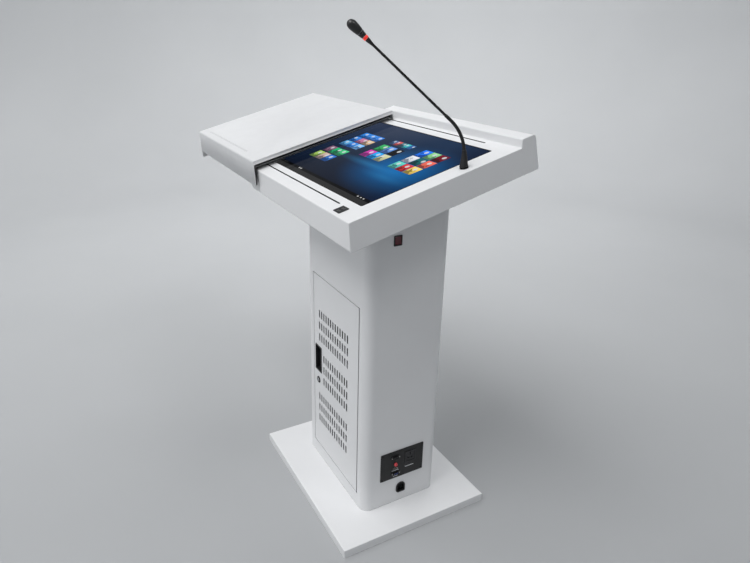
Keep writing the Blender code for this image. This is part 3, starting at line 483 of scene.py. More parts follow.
def polished(name, colour, slot, gloss=0.1):
    look = Look(name, colour, gloss, 1.0)
    swirl = look.noise(1.0, 2, look.stretched((1500, 90, 1500)))
    look.set("Roughness", look.remap(swirl, 0.3, 0.8, gloss * 0.7, gloss * 2.2))
    tint = look.remap(look.noise(160, 3), 0.45, 0.75, 0.0, 0.5)
    look.colour(tint, colour, tone(colour, 0.75))
    look.bump(swirl, 0.00001, 0.35)
    return look.done(slot)


def moulded(name, colour, gloss=0.42, grain=1900, slot="black_plastic"):
    """Moulded plastic with a fine spark-eroded texture."""
    look = Look(name, colour, gloss)
    cloud = look.clouds(40, 3)
    base = look.mix(cloud, tone(colour, 0.85), tone(colour, 1.15))
    # Outer edges much lighter: scuffing, and partly a painted highlight along the edges.
    look.colour(look.rubbed_and_lit_edges(), base, tone(colour, 2.2))
    look.set("Roughness", look.remap(cloud, 0.0, 1.0, gloss - 0.05, gloss + 0.07))
    look.bump(look.noise(grain, 2), 0.00005, 0.55)
    return look.done(slot)


def rubber(name, colour):
    look = Look(name, colour, 0.58)
    bloom = look.remap(look.noise(70, 4), 0.45, 0.75, 0.0, 0.5)
    look.colour(bloom, colour, tone(colour, 2.2))
    look.set("Roughness", look.clouds(300, 2, 0.45, 0.66))
    look.bump(look.noise(1400, 2), 0.00008, 0.5)
    return look.done("black_rubber")


def felt():
    """Black felt: no shine, a short nap."""
    look = Look("black_felt", (0.006, 0.006, 0.007), 0.95)
    nap = look.noise(2400, 3)
    look.colour(nap, (0.003, 0.003, 0.004), (0.011, 0.011, 0.012))
    look.set("Roughness", look.remap(nap, 0.3, 0.7, 0.88, 1.0))
    look.set("Specular IOR Level", 0.12)
    look.bump(nap, 0.0003, 0.7)
    return look.done("black_rubber")


def grille_mesh():
    """The windscreen's black woven metal mesh over foam."""
    look = Look("windscreen_mesh", (0.006, 0.006, 0.007), 0.28)
    weave = look.cells(1150)
    look.colour(look.remap(weave, 0.15, 0.5, 0.0, 1.0), (0.009, 0.009, 0.01),
                (0.002, 0.002, 0.0025))
    look.set("Roughness", look.remap(weave, 0.0, 0.6, 0.2, 0.42))
    look.set("Coat Weight", 0.35)
    look.set("Coat Roughness", 0.22)
    look.bump(look.remap(weave, 0.0, 0.5, 1.0, 0.0), 0.00012, 0.5)
    return look.done("black_plastic")


def red_plastic():
    look = Look("rocker_red", (0.11, 0.006, 0.014), 0.2)
    look.colour(look.clouds(260, 2), (0.085, 0.005, 0.012), (0.15, 0.009, 0.022))
    look.set("Roughness", look.clouds(90, 3, 0.14, 0.3))
    look.set("Coat Weight", 0.5)
    look.bump(look.noise(1700, 1), 0.00003, 0.3)
    return look.done("red_plastic")


def ring_light():
    """The microphone's light ring: frosted red plastic lit by small lamps inside."""
    look = Look("ring_light", (0.55, 0.02, 0.015), 0.35)
    lamps = look.remap(look.cells(210), 0.0, 0.55, 1.0, 0.25)
    look.set("Emission Color", look.mix(lamps, (0.75, 0.01, 0.01), (1.0, 0.1, 0.05)))
    look.set("Emission Strength", look.remap(lamps, 0.2, 1.0, 0.45, 1.0))
    look.set("Roughness", look.clouds(700, 1, 0.28, 0.42))
    look.bump(look.noise(1300, 1), 0.00004, 0.4)
    return look.done("red_plastic")


def lamp_look(name, colour):
    """A small indicator lamp, brighter in some places than in others."""
    look = Look(name, tone(colour, 0.3), 0.25)
    look.set("Emission Color", (*colour, 1.0))
    look.set("Emission Strength", look.clouds(900, 1, 0.5, 1.3))
    return look.done("black_plastic")


def fibreboard():
    look = Look("base_board", (0.3, 0.21, 0.13), 0.82)
    fibre = look.noise(1.0, 5, look.stretched((180, 60, 420)))
    look.colour(look.remap(fibre, 0.3, 0.7, 0.0, 1.0), (0.22, 0.15, 0.09), (0.36, 0.26, 0.16))
    look.set("Roughness", look.remap(fibre, 0.3, 0.7, 0.74, 0.92))
    look.bump(fibre, 0.0002, 0.5)
    return look.done("board")


def blue_insert():
    look = Look("socket_insert_blue", (0.01, 0.03, 0.16), 0.38)
    look.colour(look.clouds(500, 2), (0.008, 0.022, 0.12), (0.014, 0.04, 0.2))
    look.bump(look.noise(1600, 1), 0.00003, 0.4)
    return look.done("black_plastic")


# -------------------- the display's picture
PICTURE_X, PICTURE_V = (-0.2925, 0.288), (0.101, 0.476)
STRIP_TOP = 0.0895                    # the dark grey strip along the glass's front edge
BLACK = (0.0012, 0.0012, 0.0016)
CARD_FILL = 0.47                     # a card's half width, as a share of its cell
# Groups of coloured cards: (x range, v range, columns, the cards' colours row by row).
CARDS = (
    ((-0.237, -0.115), (0.278, 0.39), 3, (
        (0.03, 0.2, 0.62), (0.04, 0.22, 0.66), (0.03, 0.18, 0.6),
        (0.04, 0.2, 0.6), (0.46, 0.16, 0.28), (0.6, 0.42, 0.26),
        (0.1, 0.34, 0.62), (0.03, 0.2, 0.62), (0.16, 0.42, 0.8))),
    ((-0.237, -0.118), (0.217, 0.26), 3, (
        (0.2, 0.1, 0.16), (0.01, 0.36, 0.13), (0.04, 0.44, 0.17))),
    ((-0.237, -0.118), (0.168, 0.214), 3, (
        (0.3, 0.46, 0.1), (0.46, 0.34, 0.28), (0.02, 0.14, 0.48))),
    ((-0.062, 0.055), (0.366, 0.396), 5, (
        (0.05, 0.12, 0.26), (0.52, 0.08, 0.08), (0.06, 0.16, 0.2), (0.04, 0.42, 0.46),
        (0.02, 0.1, 0.3))),
    ((-0.067, 0.055), (0.26, 0.356), 3, (
        (0.03, 0.34, 0.1), (0.1, 0.24, 0.6), (0.004, 0.004, 0.005),
        (0.52, 0.04, 0.34), (0.01, 0.32, 0.74), (0.5, 0.5, 0.28))),
    ((0.107, 0.227), (0.253, 0.393), 3, (
        (0.01, 0.16, 0.8), (0.22, 0.52, 0.22), (0.14, 0.004, 0.012),
        (0.62, 0.64, 0.68), (0.006, 0.1, 0.1), (0.7, 0.12, 0.08),
        (0.1, 0.5, 0.42), (0.52, 0.03, 0.03), (0.74, 0.52, 0.1))),
)
# The small marks on the strip under the picture: (x range, v range, brightness).
MARKS = (
    ((-0.29, -0.238), (0.095, 0.0962), 0.05),
    ((-0.153, -0.146), (0.093, 0.0985), 0.55), ((-0.141, -0.134), (0.093, 0.0985), 0.55),
    ((0.221, 0.227), (0.0935, 0.098), 0.55), ((0.237, 0.243), (0.0935, 0.098), 0.55),
    ((0.251, 0.257), (0.0935, 0.098), 0.55),
)


def within(look, value, low, high):
    """One where a value lies between two limits."""
    off = look.math("ABSOLUTE", look.math("SUBTRACT", value, (low + high) / 2))
    return look.math("LESS_THAN", off, (high - low) / 2)


def patch(look, across, up, x, v):
    return look.math("MULTIPLY", within(look, across, *x), within(look, up, *v))


def colour_steps(look, at, colours):
    """One colour after another as a value goes from zero to one."""
    ramp = look.add("ShaderNodeValToRGB", {"Fac": at})
    ramp.color_ramp.interpolation = "CONSTANT"
    stops = ramp.color_ramp.elements
    stops[0].color = (*colours[0], 1.0)
    stops[1].position, stops[1].color = 1.0 / len(colours), (*colours[1], 1.0)
    for index, colour in enumerate(colours[2:], 2):
        stops.new(index / len(colours)).color = (*colour, 1.0)
    return ramp.outputs["Color"]


def card_group(look, across, up, x, v, columns, colours, below):
    """A grid of cards, each a small view in one colour: a sky, a pale disc and a dark hill."""
    rows = len(colours) // columns
    column = look.remap(across, x[0], x[1], 0, columns)
    row = look.remap(up, v[1], v[0], 0, rows)
    at = look.math("ADD", look.math("MULTIPLY", look.math("FLOOR", row), columns),
                   look.math("FLOOR", column))
    at = look.math("DIVIDE", look.math("ADD", at, 0.5), len(colours))
    colour = colour_steps(look, at, colours)
    inside = patch(look, across, up, x, v)
    from_left, from_top = [look.math("SUBTRACT", look.math("FRACT", place), 0.5)
                           for place in (column, row)]
    for middle in (from_left, from_top):
        inside = look.math("MULTIPLY", inside,
                           look.math("LESS_THAN", look.math("ABSOLUTE", middle), CARD_FILL))
    sky = look.mix(1.0, colour, look.remap(from_top, -0.5, 0.5, 1.45, 0.75), "MULTIPLY")
    hill = look.mix(1.0, colour, (0.34, 0.36, 0.42), "MULTIPLY")
    crest = look.remap(look.noise(52, 2.5), 0.32, 0.68, -0.22, 0.5)
    card = look.mix(look.math("GREATER_THAN", from_top, crest), sky, hill)
    chance = look.add("ShaderNodeTexWhiteNoise", {"W": at}, noise_dimensions="1D")
    shift = look.remap(chance.outputs["Value"], 0.0, 1.0, -0.3, 0.3)
    aside, aloft = look.math("SUBTRACT", from_left, shift), look.math("ADD", from_top, 0.2)
    squares = [look.math("MULTIPLY", off, off) for off in (aside, aloft)]
    reach = look.math("ADD", *squares)
    disc = look.math("MULTIPLY", look.math("LESS_THAN", reach, 0.026), 0.85)
    return look.mix(inside, below, look.mix(disc, card, (0.66, 0.69, 0.72)))


def spot(look, centre, scale, power):
    """A soft round or stretched spot of light: one at its centre and zero at its rim."""
    at = (centre[0] * scale[0], centre[1] * scale[1], 0.0)
    off = look.add("ShaderNodeVectorMath", {0: look.stretched((*scale, 0.0)), 1: at},
                   operation="DISTANCE")
    return look.math("POWER", look.remap(off.outputs["Value"], 0.0, 1.0, 1.0, 0.0), power)


def display_picture():
    """Black glass over a lit picture: a blue field with a painted grey-blue reflection at its upper
    left, a soft glow and groups of cards.
    """
    look = Look("display_glass", BLACK, 0.1)
    parts = look.add("ShaderNodeSeparateXYZ", {"Vector": look.place}).outputs
    across, up = parts["X"], parts["Y"]
    field = look.mix(look.remap(up, 0.1, 0.46, 0.0, 1.0), (0.004, 0.0075, 0.019),
                     (0.004, 0.023, 0.068))
    # Painted reflection: a grey-blue sheen laid over the field's upper left.
    left = look.remap(look.math("SUBTRACT", look.math("MULTIPLY", up, 0.9), across),
                      0.3, 0.72, 0.0, 1.0)
    field = look.mix(look.math("MULTIPLY", left, look.remap(up, 0.15, 0.45, 0.15, 1.0)), field,
                     (0.034, 0.046, 0.084))
    field = look.mix(look.remap(across, 0.16, 0.29, 0.0, 1.0), field, (0.001, 0.0095, 0.036))
    glow = spot(look, (0.165, 0.262), (4.0, 6.0), 1.5)
    field = look.mix(glow, field, (0.000, 0.15, 0.46))
    for centre, scale, share in (((0.06, 0.236), (4.2, 42.0), 0.38),
                                 ((0.17, 0.205), (8.0, 34.0), 0.3)):
        beam = look.math("MULTIPLY", spot(look, centre, scale, 1.4), share)
        field = look.mix(beam, field, (0.03, 0.26, 0.55))
    for group in CARDS:
        field = card_group(look, across, up, *group, field)
    shown = look.mix(patch(look, across, up, PICTURE_X, PICTURE_V), BLACK, field)
    glass_edge = span("display_glass", DESK)[0].y
    strip = within(look, up, glass_edge - 0.01, STRIP_TOP)
    shown = look.mix(strip, shown, look.clouds(400, 1, 0.022, 0.032))
    for x, v, bright in MARKS:
        shown = look.mix(patch(look, across, up, x, v), shown, (bright, bright, bright))
    look.set("Emission Color", shown)
    look.set("Emission Strength", 1.0)
    look.set("Roughness", look.remap(look.noise(14, 4), 0.4, 0.7, 0.05, 0.14))
    look.set("Specular IOR Level", 0.012)
    return look.done("screen")


# Every look by its name: (material, slot).
LOOKS = {
    "white": powder_coat("white_powder_coat", (0.8, 0.805, 0.815)),
    "steel": plated_steel(),
    "slide": slide_steel(),
    "steel_fine": polished("satin_steel", (0.52, 0.53, 0.55), "plated_steel", 0.28),
    "chrome": polished("lock_chrome", (0.78, 0.78, 0.8), "chrome_lock"),
    "nickel": polished("nickel_plate", (0.62, 0.61, 0.58), "nickel_shells", 0.2),
    "black": moulded("black_plastic", (0.012, 0.012, 0.014)),
    "black_gloss": moulded("black_gloss_plastic", (0.01, 0.01, 0.011), 0.24, 2600),
    "case": moulded("case_coating", (0.02, 0.021, 0.023), 0.52, 1100),
    "grey": moulded("grey_plastic", (0.1, 0.1, 0.105), 0.45),
    "print": moulded("printed_bars", (0.7, 0.71, 0.73), 0.55),
    "blue": blue_insert(),
    "pink": moulded("jack_pink", (0.66, 0.075, 0.085), 0.3, slot="pink_plastic"),
    "plate": moulded("faceplate_black", (0.0065, 0.0068, 0.0075), 0.5),
    "felt": felt(),
    # Painted shade: a dark grey for the tray under the desk, standing in for the shadow it sits in.
    "shade": powder_coat("tray_painted_shade_coat", (0.17, 0.172, 0.176)),
    "cover": powder_coat("cover_powder_coat", (0.705, 0.71, 0.72)),
    "pale": powder_coat("pale_inlay", (0.62, 0.625, 0.635)),
    "rubber": rubber("black_rubber", (0.006, 0.006, 0.0066)),
    # The black brush at the cover's end, dark as painted shade.
    "brush": rubber("brush_seal_painted_shade", (0.005, 0.005, 0.0054)),
    "neck": rubber("gooseneck_coating", (0.005, 0.005, 0.0056)),
    "stem": moulded("stem_lacquer", (0.005, 0.005, 0.0055), 0.26, 2400, "black_rubber"),
    "mesh": grille_mesh(),
    "red": red_plastic(),
    "glow": ring_light(),
    "lamp_blue": lamp_look("lamp_blue", (0.08, 0.3, 1.0)),
    "lamp_green": lamp_look("lamp_green", (0.1, 0.9, 0.2)),
    "board": fibreboard(),
    "screen": display_picture(),
}


# -------------------- base and column
def make_base():
    """The base's folded steel tray, with holes for the column's bolts."""
    low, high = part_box("base_cover")
    tray = start("base_tray", block(low - Vector((0, 0, CLEAR)), high, 0.0024, 4))
    carve(tray, block((low.x - 0.1, low.y - 0.1, -0.1), (high.x + 0.1, high.y + 0.1, 0.0)))
    inset = Vector((BASE_SHEET, BASE_SHEET, 0))
    carve(tray, block(low + inset - Vector((0, 0, 2 * CLEAR)),
                      high - inset - Vector((0, 0, BASE_SHEET)), 0.0008))
    for index in range(1, 5):
        x, y = middle(*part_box(f"column_bolt_{index}"), "XY")
        hole = [(BOLT_HOLE, -CLEAR), (BOLT_HOLE, 5 * CLEAR)]
        carve(tray, turned(hole, Matrix.Translation((x, y, 0.0))))
    finish(tray, "white", nodes=["base_cover"])


def outlet_outline(inset):
    """The cable outlet's arch, with a flat foot."""
    low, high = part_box("cable_grommet")
    lip = 0.002
    arch = (high.y - low.y) / 2 - lip - inset - 0.0002
    return face(low, high, "YZ", lip + inset, [0.01 - inset, 0.0035, arch, arch], 10)


def make_column():
    """The column's rounded sheet, cut to the desk's slope, with its four openings."""
    low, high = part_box("column_shell")
    outlines = [face(low, high, "XY", inset, COLUMN_CORNER - inset, 14)
                for inset in (0, COLUMN_SHEET)]
    shell = start("column_skin", slab(outlines, low.z, high.z + 0.03, "XY", 0.0003))
    under_desk = span("desk_pan", DESK)[0].z - GAP
    carve(shell, block((-0.4, -0.1, under_desk), (0.4, 0.7, under_desk + 0.3)), DESK)
    door_low, door_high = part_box("door_panel")
    carve(shell, block(
        (door_low.x - DOOR_GAP, low.y - CLEAR, door_low.z - DOOR_GAP),
        (door_high.x + DOOR_HINGE_GAP, low.y + CLEAR, door_high.z + DOOR_GAP)))
    holes = [rounded(centred(middle(*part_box(node), "YZ"), size), 0.001, 2) for node, size in
             (("switch_housing", (0.0246, 0.0286)), ("socket_plate", (0.1466, 0.0886)))]
    for hole in holes + [outlet_outline(0)]:
        carve(shell, slab([hole], high.x - CLEAR, high.x + CLEAR, "YZ"))
    finish(shell, "white", "stand", ["column_shell"], 0.0004, 60, 2)


def make_outlet():
    """The rubber sleeve in the cable outlet, with a rolled lip outside."""
    low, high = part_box("cable_grommet")
    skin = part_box("column_shell")[1].x
    bore = outlet_outline(0.003)
    grommet = start("outlet_grommet", slab([outlet_outline(0.0004), bore], low.x, skin + 0.001,
                                           "YZ", 0.0003))
    weld(grommet, slab([outlet_outline(-0.0006), bore], skin + GAP, high.x, "YZ", 0.001))
    finish(grommet, "rubber", nodes=["cable_grommet"])


# -------------------- door and lock
def vent_outlines():
    outlines = []
    for centre_z, last_x, columns in VENT_GROUPS:
        for row in range(VENT_ROWS):
            z = centre_z + (row - (VENT_ROWS - 1) / 2) * VENT_PITCH_Z
            for column in range(columns):
                corners = centred((last_x - column * VENT_PITCH_X, z), (VENT_WIDTH, VENT_HEIGHT))
                outlines.append(rounded(corners, VENT_WIDTH * 0.47, 4))
    return outlines


def make_door():
    """The door's perforated panel and the fold round its back, with its pull and its lock."""
    low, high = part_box("door_panel")
    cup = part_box("door_handle_cup")
    lock = middle(*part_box("lock_barrel"), "XZ")
    outlines = [face(low, high, "XZ", DOOR_TRIM, 0.0012, 3), face(*cup, "XZ", 0.002),
                circle(lock, 0.0098)]
    piece("door_skin", slab(outlines + vent_outlines(), low.y, high.y, "XZ", 0.0004), "white",
          "door", ["door_panel"])
    low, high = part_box("door_rim")
    outlines = [face(low, high, "XZ", DOOR_TRIM, 0.0012, 3), face(low, high, "XZ", 0.0018)]
    piece("door_fold", slab(outlines, low.y, high.y, "XZ", 0.0003), "white", "door", ["door_rim"])
    make_door_pull(*cup)
    make_lock(lock)


def make_door_pull(low, high):
    """A flush black pull: a rimmed cup whose floor slopes up to a finger edge."""
    wall, bite = 0.0042, 0.0005
    rim = face(low, high, "XZ", 0, 0.0022)
    mouth = face(low, high, "XZ", wall, 0.0016, 4)
    cup = face(low, high, "XZ", 0.0024)
    pull = start("door_pull", slab([rim, mouth], low.y, low.y + 0.0016, "XZ", 0.0006))
    weld(pull, slab([cup, mouth], low.y + 0.0012, high.y, "XZ", 0.0002))
    weld(pull, slab([cup], high.y - 0.0018, high.y, "XZ"))
    back, floor = high.x - wall + bite, high.y - 0.0012
    ramp = ((back - 0.014, floor), (back, floor), (back, low.y + 0.0052))
    weld(pull, loft([[Vector((x, y, z)) for x, y in ramp]
                     for z in (low.z + wall - bite, high.z - wall + bite)]))
    finish(pull, "black", "door", ["door_handle_cup"])


def frontward(x, y, z):
    """A place whose Z axis points towards the speaker."""
    return Matrix.Translation((x, y, z)) @ Matrix.Rotation(math.radians(90), 4, "X")


def outward(x, y, z):
    """A place whose Z axis points out of the column's right face."""
    return Matrix.Translation((x, y, z)) @ Matrix.Rotation(math.radians(90), 4, "Y")


def make_lock(centre):
    """A cam lock: a fixed collar on the door, and a plug with a key slot that turns."""
    place = frontward(centre[0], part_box("door_panel")[0].y, centre[1])
    collar = turned([
        (0.0072, 0.0026), (0.0078, 0.0031), (0.0092, 0.003), (0.0108, 0.0024), (0.0119, 0.0014),
        (0.012, 0.0008), (0.012, GAP), (0.0094, GAP), (0.0094, -0.0185), (0.0072, -0.0185),
    ], place, 48, joined=True)
    piece("lock_collar", collar, "black_gloss", "door", ["lock_barrel"])
    plug = start("lock_face", turned([
        (0.0052, 0.0026), (0.0061, 0.0024), (0.0066, 0.0018), (0.0068, 0.001), (0.0068, -0.019),
    ], place, 48))
    carve(plug, block((-0.0007, -0.0036, -0.001), (0.0007, 0.0036, CLEAR)), place)
    carve(plug, turned([(0.0015, 0.0004), (0.0015, CLEAR)], place, 24))
    finish(plug, "chrome", "lock", ["lock_plug"], 0.00025)


# -------------------- switch
def make_switch():
    """The power switch: a black bezel and a red rocker with a dished face."""
    low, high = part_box("switch_housing")
    y, z = middle(low, high, "YZ")
    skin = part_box("column_shell")[1].x
    mouth = rounded(centred((y, z), (0.0212, 0.0252)), 0.001, 3)
    neck = rounded(centred((y, z), (0.024, 0.028)), 0.0008, 2)
    bezel = start("rocker_bezel", slab([face(low, high, "YZ", 0, 0.0022), mouth], skin + GAP,
                                       high.x, "YZ", 0.0007))
    weld(bezel, slab([neck, mouth], low.x, skin + 0.0008, "YZ", 0.0002))
    finish(bezel, "black", nodes=["switch_housing"])

    steps, half, front, back, foot = 12, 0.0112, 0.0056, -0.0038, 0.008
    heights = [-half + 2 * half * step / steps for step in range(steps + 1)]
    dish = [(front + 0.0017 * abs(height / half) ** 1.4, height) for height in heights]
    outline = [(back, -foot), *dish, (back, foot)]
    place = Matrix.Translation((skin - 0.004, y, z)) @ Matrix.Rotation(-ROCKER_TILT, 4, "Y")
    key = start("rocker_key", slab([outline], -0.0098, 0.0098, "XZ", 0.0005), place)
    finish(key, "red", "rocker", ["switch_rocker"])


# -------------------- socket plate
def screw_head(place, radius):
    """A countersunk screw head with a cross recess, its axis along the place's Z."""
    head = start("head", turned([(radius * 0.82, 0.0006), (radius, 0.0002), (radius, -0.0006)],
                                place, 24))
    arm, wide = radius * 0.62, radius * 0.16
    for a, b in ((arm, wide), (wide, arm)):
        carve(head, block((-a, -b, 0.0001), (a, b, 0.002)), place)
    mesh = head.data
    bpy.data.objects.remove(head, do_unlink=True)
    return mesh


def make_sockets():
    """The plate on the column's right face, and everything that is set in it."""
    low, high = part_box("socket_plate")
    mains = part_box("mains_outlet")
    piece("socket_faceplate", slab([face(low, high, "YZ", 0, 0.0022), face(*mains, "YZ", -0.00035)],
                                   low.x, high.x, "YZ", 0.0007), "plate", nodes=["socket_plate"])
    inset = 0.0062
    screws = [screw_head(outward(high.x + 0.0001, y, z), 0.0026)
              for y in (low.y + inset, high.y - inset) for z in (low.z + inset, high.z - inset)]
    piece("faceplate_screws", merged(*screws), "black_gloss")
    make_video_socket("upper", "black")
    make_video_socket("lower", "blue")
    make_small_ports()
    make_mains_outlet(*mains)
    make_legend(high.x)


def make_video_socket(level, insert_look):
    """A fifteen-way D socket: a stamped shell, its moulded insert and two hexagonal nuts."""
    node = f"video_socket_{level}"
    low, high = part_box(node)
    y, z = middle(low, high, "YZ")

    def wedge(inset):
        foot, top, rise = 0.0078 - inset, 0.0088 - inset, 0.004 - inset
        corners = [(y - foot, z - rise), (y + foot, z - rise), (y + top, z + rise),
                   (y - top, z + rise)]
        return rounded(corners, 0.002 - inset, 5)

    shell = start(f"video_shell_{level}", slab([face(low, high, "YZ", 0, 0.0022), wedge(0.0006)],
                                               low.x, low.x + 0.001, "YZ", 0.0002))
    weld(shell, slab([wedge(0), wedge(0.0007)], low.x + 0.0006, high.x, "YZ", 0.0002))
    finish(shell, "black_gloss", nodes=[node])
    pins = [circle((y + (column - 2) * 0.0023 + (row - 1) * 0.0005, z + (row - 1) * 0.002),
                   0.00048, 10) for row in range(3) for column in range(5)]
    piece(f"video_insert_{level}", slab([wedge(0.0009)] + pins, low.x + 0.0004, high.x - 0.0009,
                                        "YZ", 0.0001), insert_look)
    nuts = [slab([circle(place, 0.0021, 6), circle(place, 0.0009, 16)], low.x + 0.0012,
                 low.x + 0.0034, "YZ", 0.0003) for place in ((y - 0.0142, z), (y + 0.0142, z))]
    piece(f"video_nuts_{level}", merged(*nuts), "nickel")


def make_small_ports():
    """A ringed audio jack, and a small digital port with its tongue."""
    low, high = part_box("audio_jack")
    place = outward(low.x, *middle(low, high, "YZ"))
    rise = high.x - low.x
    ring = turned([(0.0019, rise * 0.85), (0.0024, rise), (0.005, rise), (0.0057, rise * 0.8),
                   (0.006, 0.0007), (0.0062, 0.0), (0.0019, 0.0)], place, 40, joined=True)
    piece("jack_ring", ring, "pink", nodes=["audio_jack"])
    sleeve = turned([(0.0013, rise * 0.5), (0.0018, rise * 0.5), (0.0018, 0.0), (0.0013, 0.0)],
                    place, 32, joined=True)
    piece("jack_contact", sleeve, "black")

    low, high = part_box("digital_port")
    y, z = middle(low, high, "YZ")

    def port(inset, cut=0.0016):
        across, rise = (high.y - low.y) / 2 - inset, (high.z - low.z) / 2 - inset
        return [(y - across + cut, z - rise), (y + across - cut, z - rise),
                (y + across, z - rise + cut), (y + across, z + rise),
                (y - across, z + rise), (y - across, z - rise + cut)]

    piece("digital_shell", slab([port(0), port(0.0009)], low.x, high.x, "YZ", 0.0002), "nickel",
          nodes=["digital_port"])
    tongue = centred((y, z), (high.y - low.y - 0.0052, 0.0011))
    piece("digital_tongue", slab([tongue], low.x - 0.0001, high.x - 0.0006, "YZ", 0.0002), "black")


def make_mains_outlet(low, high):
    """A three-pin mains insert with a sunk face and shuttered slots."""
    y, z = middle(low, high, "YZ")
    sunk = rounded(centred((y, z), (0.035, 0.035)), 0.003, 6)
    floor = rounded(centred((y, z), (0.038, 0.038)), 0.003, 6)
    slots = [rounded(centred((y + across, z + above), size), 0.0008, 3)
             for across, above, size in ((0.0, 0.009, (0.003, 0.0075)),
                                         (-0.007, -0.0055, (0.0068, 0.0034)),
                                         (0.007, -0.0055, (0.0068, 0.0034)))]
    outlet = start("mains_insert", slab([face(low, high, "YZ", 0, 0.0022), sunk], low.x, high.x,
                                        "YZ", 0.0005))
    weld(outlet, slab([floor] + slots, low.x + 0.0006, high.x - 0.0012, "YZ", 0.0003))
    finish(outlet, "black", nodes=["mains_outlet"])
    piece("mains_shutters", slab([centred((y, z), (0.03, 0.03))], low.x + 0.0016,
                                 high.x - 0.0046, "YZ", 0.0003), "felt")


def make_legend(front):
    """Plain printed bars where the plate would carry its legends."""
    bars = (((-0.032, -0.014), 0.1345, 0.0018), ((0.013, 0.046), 0.1575, 0.0024),
            ((-0.037, -0.011), 0.1566, 0.0018))
    meshes = [slab([rounded(rectangle(y, (z - high / 2, z + high / 2)), high * 0.4, 2)],
                   front - 0.0002, front + 0.00012, "YZ", 0.00004) for y, z, high in bars]
    piece("plate_legend_bars", merged(*meshes), "print")


# -------------------- desk
def desk_profile(inset):
    """The desk's side view in (V, W): its sheet's outer face, or an inner offset of it."""
    front, back, foot = inset * 1.016, DESK_LENGTH - inset, -DESK_DROP + inset
    corners = [
        (-DESK_LEAN + front, foot), (back, foot), (back, RIDGE_RISE - inset),
        (RIDGE_TOP + inset, RIDGE_RISE - inset), (RIDGE_FOOT + inset, -inset),
        (front - DESK_LEAN * inset / DESK_DROP, -inset),
    ]
    radii = [(0.006, -1), (0.004, -1), (0.012, -1), (0.005, -1), (0.003, 1), (0.004, -1)]
    return rounded(corners, [max(0.0008, radius + way * inset) for radius, way in radii], 8)


def slot_shade_edging(v, wall):
    """A thin black strip round the inside of a guide slot, open at its left end: painted shade for
    the slot's dark inside.
    """
    path, radii = [], []
    for inset, way in ((0.0001, 1), (0.0007, -1)):
        end, reach = SLOT_RIGHT - inset, SLOT_HALF - inset
        near, far = v - way * reach, v + way * reach
        path += [(wall, near), (end, near), (end, far), (wall, far)]
        radii += [0, reach * 0.9, reach * 0.9, 0]
    return slab([rounded(path, radii, 5)], -0.003, 0.0001, "XY")


def make_desk():
    """The desk's hollow shell, with every opening that its fittings and slides need."""
    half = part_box("desk_shell")[1].x
    inner = half - DESK_SHEET
    shell = start("desk_body", slab([desk_profile(0)], -half, half, "YZ", 0.0016), DESK)
    carve(shell, slab([desk_profile(DESK_SHEET)], -inner, inner, "YZ"))
    pan_low, pan_high = span("desk_pan", DESK)
    mouth = 0.015
    carve(shell, block((pan_low.x + mouth, PAN_FRONT + mouth, -0.09),
                       (pan_high.x - mouth, PAN_BACK - mouth, -0.07)))
    window = face(*span("display_glass", DESK), "XY", -0.0006, 0.0052, 6)
    carve(shell, slab([window], -0.006, 0.006, "XY"))
    for v in SLOT_V:
        slot = rounded(rectangle((-half - CLEAR, SLOT_RIGHT), (v - SLOT_HALF, v + SLOT_HALF)),
                       [0, 0.0024, 0.0024, 0], 5)
        carve(shell, slab([slot], -CLEAR, 0.006, "XY"))
        carve(shell, block((-half - CLEAR, v - 0.0105, -0.036),
                           (-inner + 0.003, v + 0.0105, -0.0045)))
    usb_low, usb_high = span("usb_module", DESK)
    lip = 0.002
    carve(shell, block((usb_low.x + lip, usb_low.y + lip, -CLEAR),
                       (usb_high.x - lip, usb_high.y - lip, CLEAR)))
    carve(shell, turned([(0.0105, -CLEAR), (0.0105, CLEAR)], Matrix.Translation(MIC_PLACE)))
    squared(finish(shell, "white", "stand", ["desk_shell"], 0.0004, 60, 2))
    edging = [slot_shade_edging(v, 0.002 - half) for v in SLOT_V]
    piece("slot_shade_edging", merged(*edging), "rubber", place=DESK)
    make_pan(pan_low, pan_high)


def make_pan(low, high):
    """The folded tray under the desk, with its cable opening over the column."""
    top, floor, sheet = high.z, low.z, DESK_SHEET
    outline = [(PAN_FRONT, top), (PAN_FRONT, floor), (PAN_BREAK, floor),
               (PAN_BACK, top - 0.003), (PAN_BACK, top)]
    tray = start("desk_tray", slab([rounded(outline, [0, 0.003, 0.003, 0, 0], 6)],
                                   low.x, high.x, "YZ", 0.0009), DESK)
    inner = [(PAN_FRONT + sheet, top + CLEAR), (PAN_FRONT + sheet, floor + sheet),
             (PAN_BREAK - 0.001, floor + sheet), (PAN_BACK - 0.008, top),
             (PAN_BACK - 0.008, top + CLEAR)]
    carve(tray, slab([inner], low.x + sheet, high.x - sheet, "YZ"))
    carve(tray, block((-0.12, 0.19, floor - CLEAR), (0.12, 0.33, floor + CLEAR), 0.002))
    # The tray takes the dark painted-shade grey of the shadow under the desk.
    finish(tray, "shade", nodes=["desk_pan"])


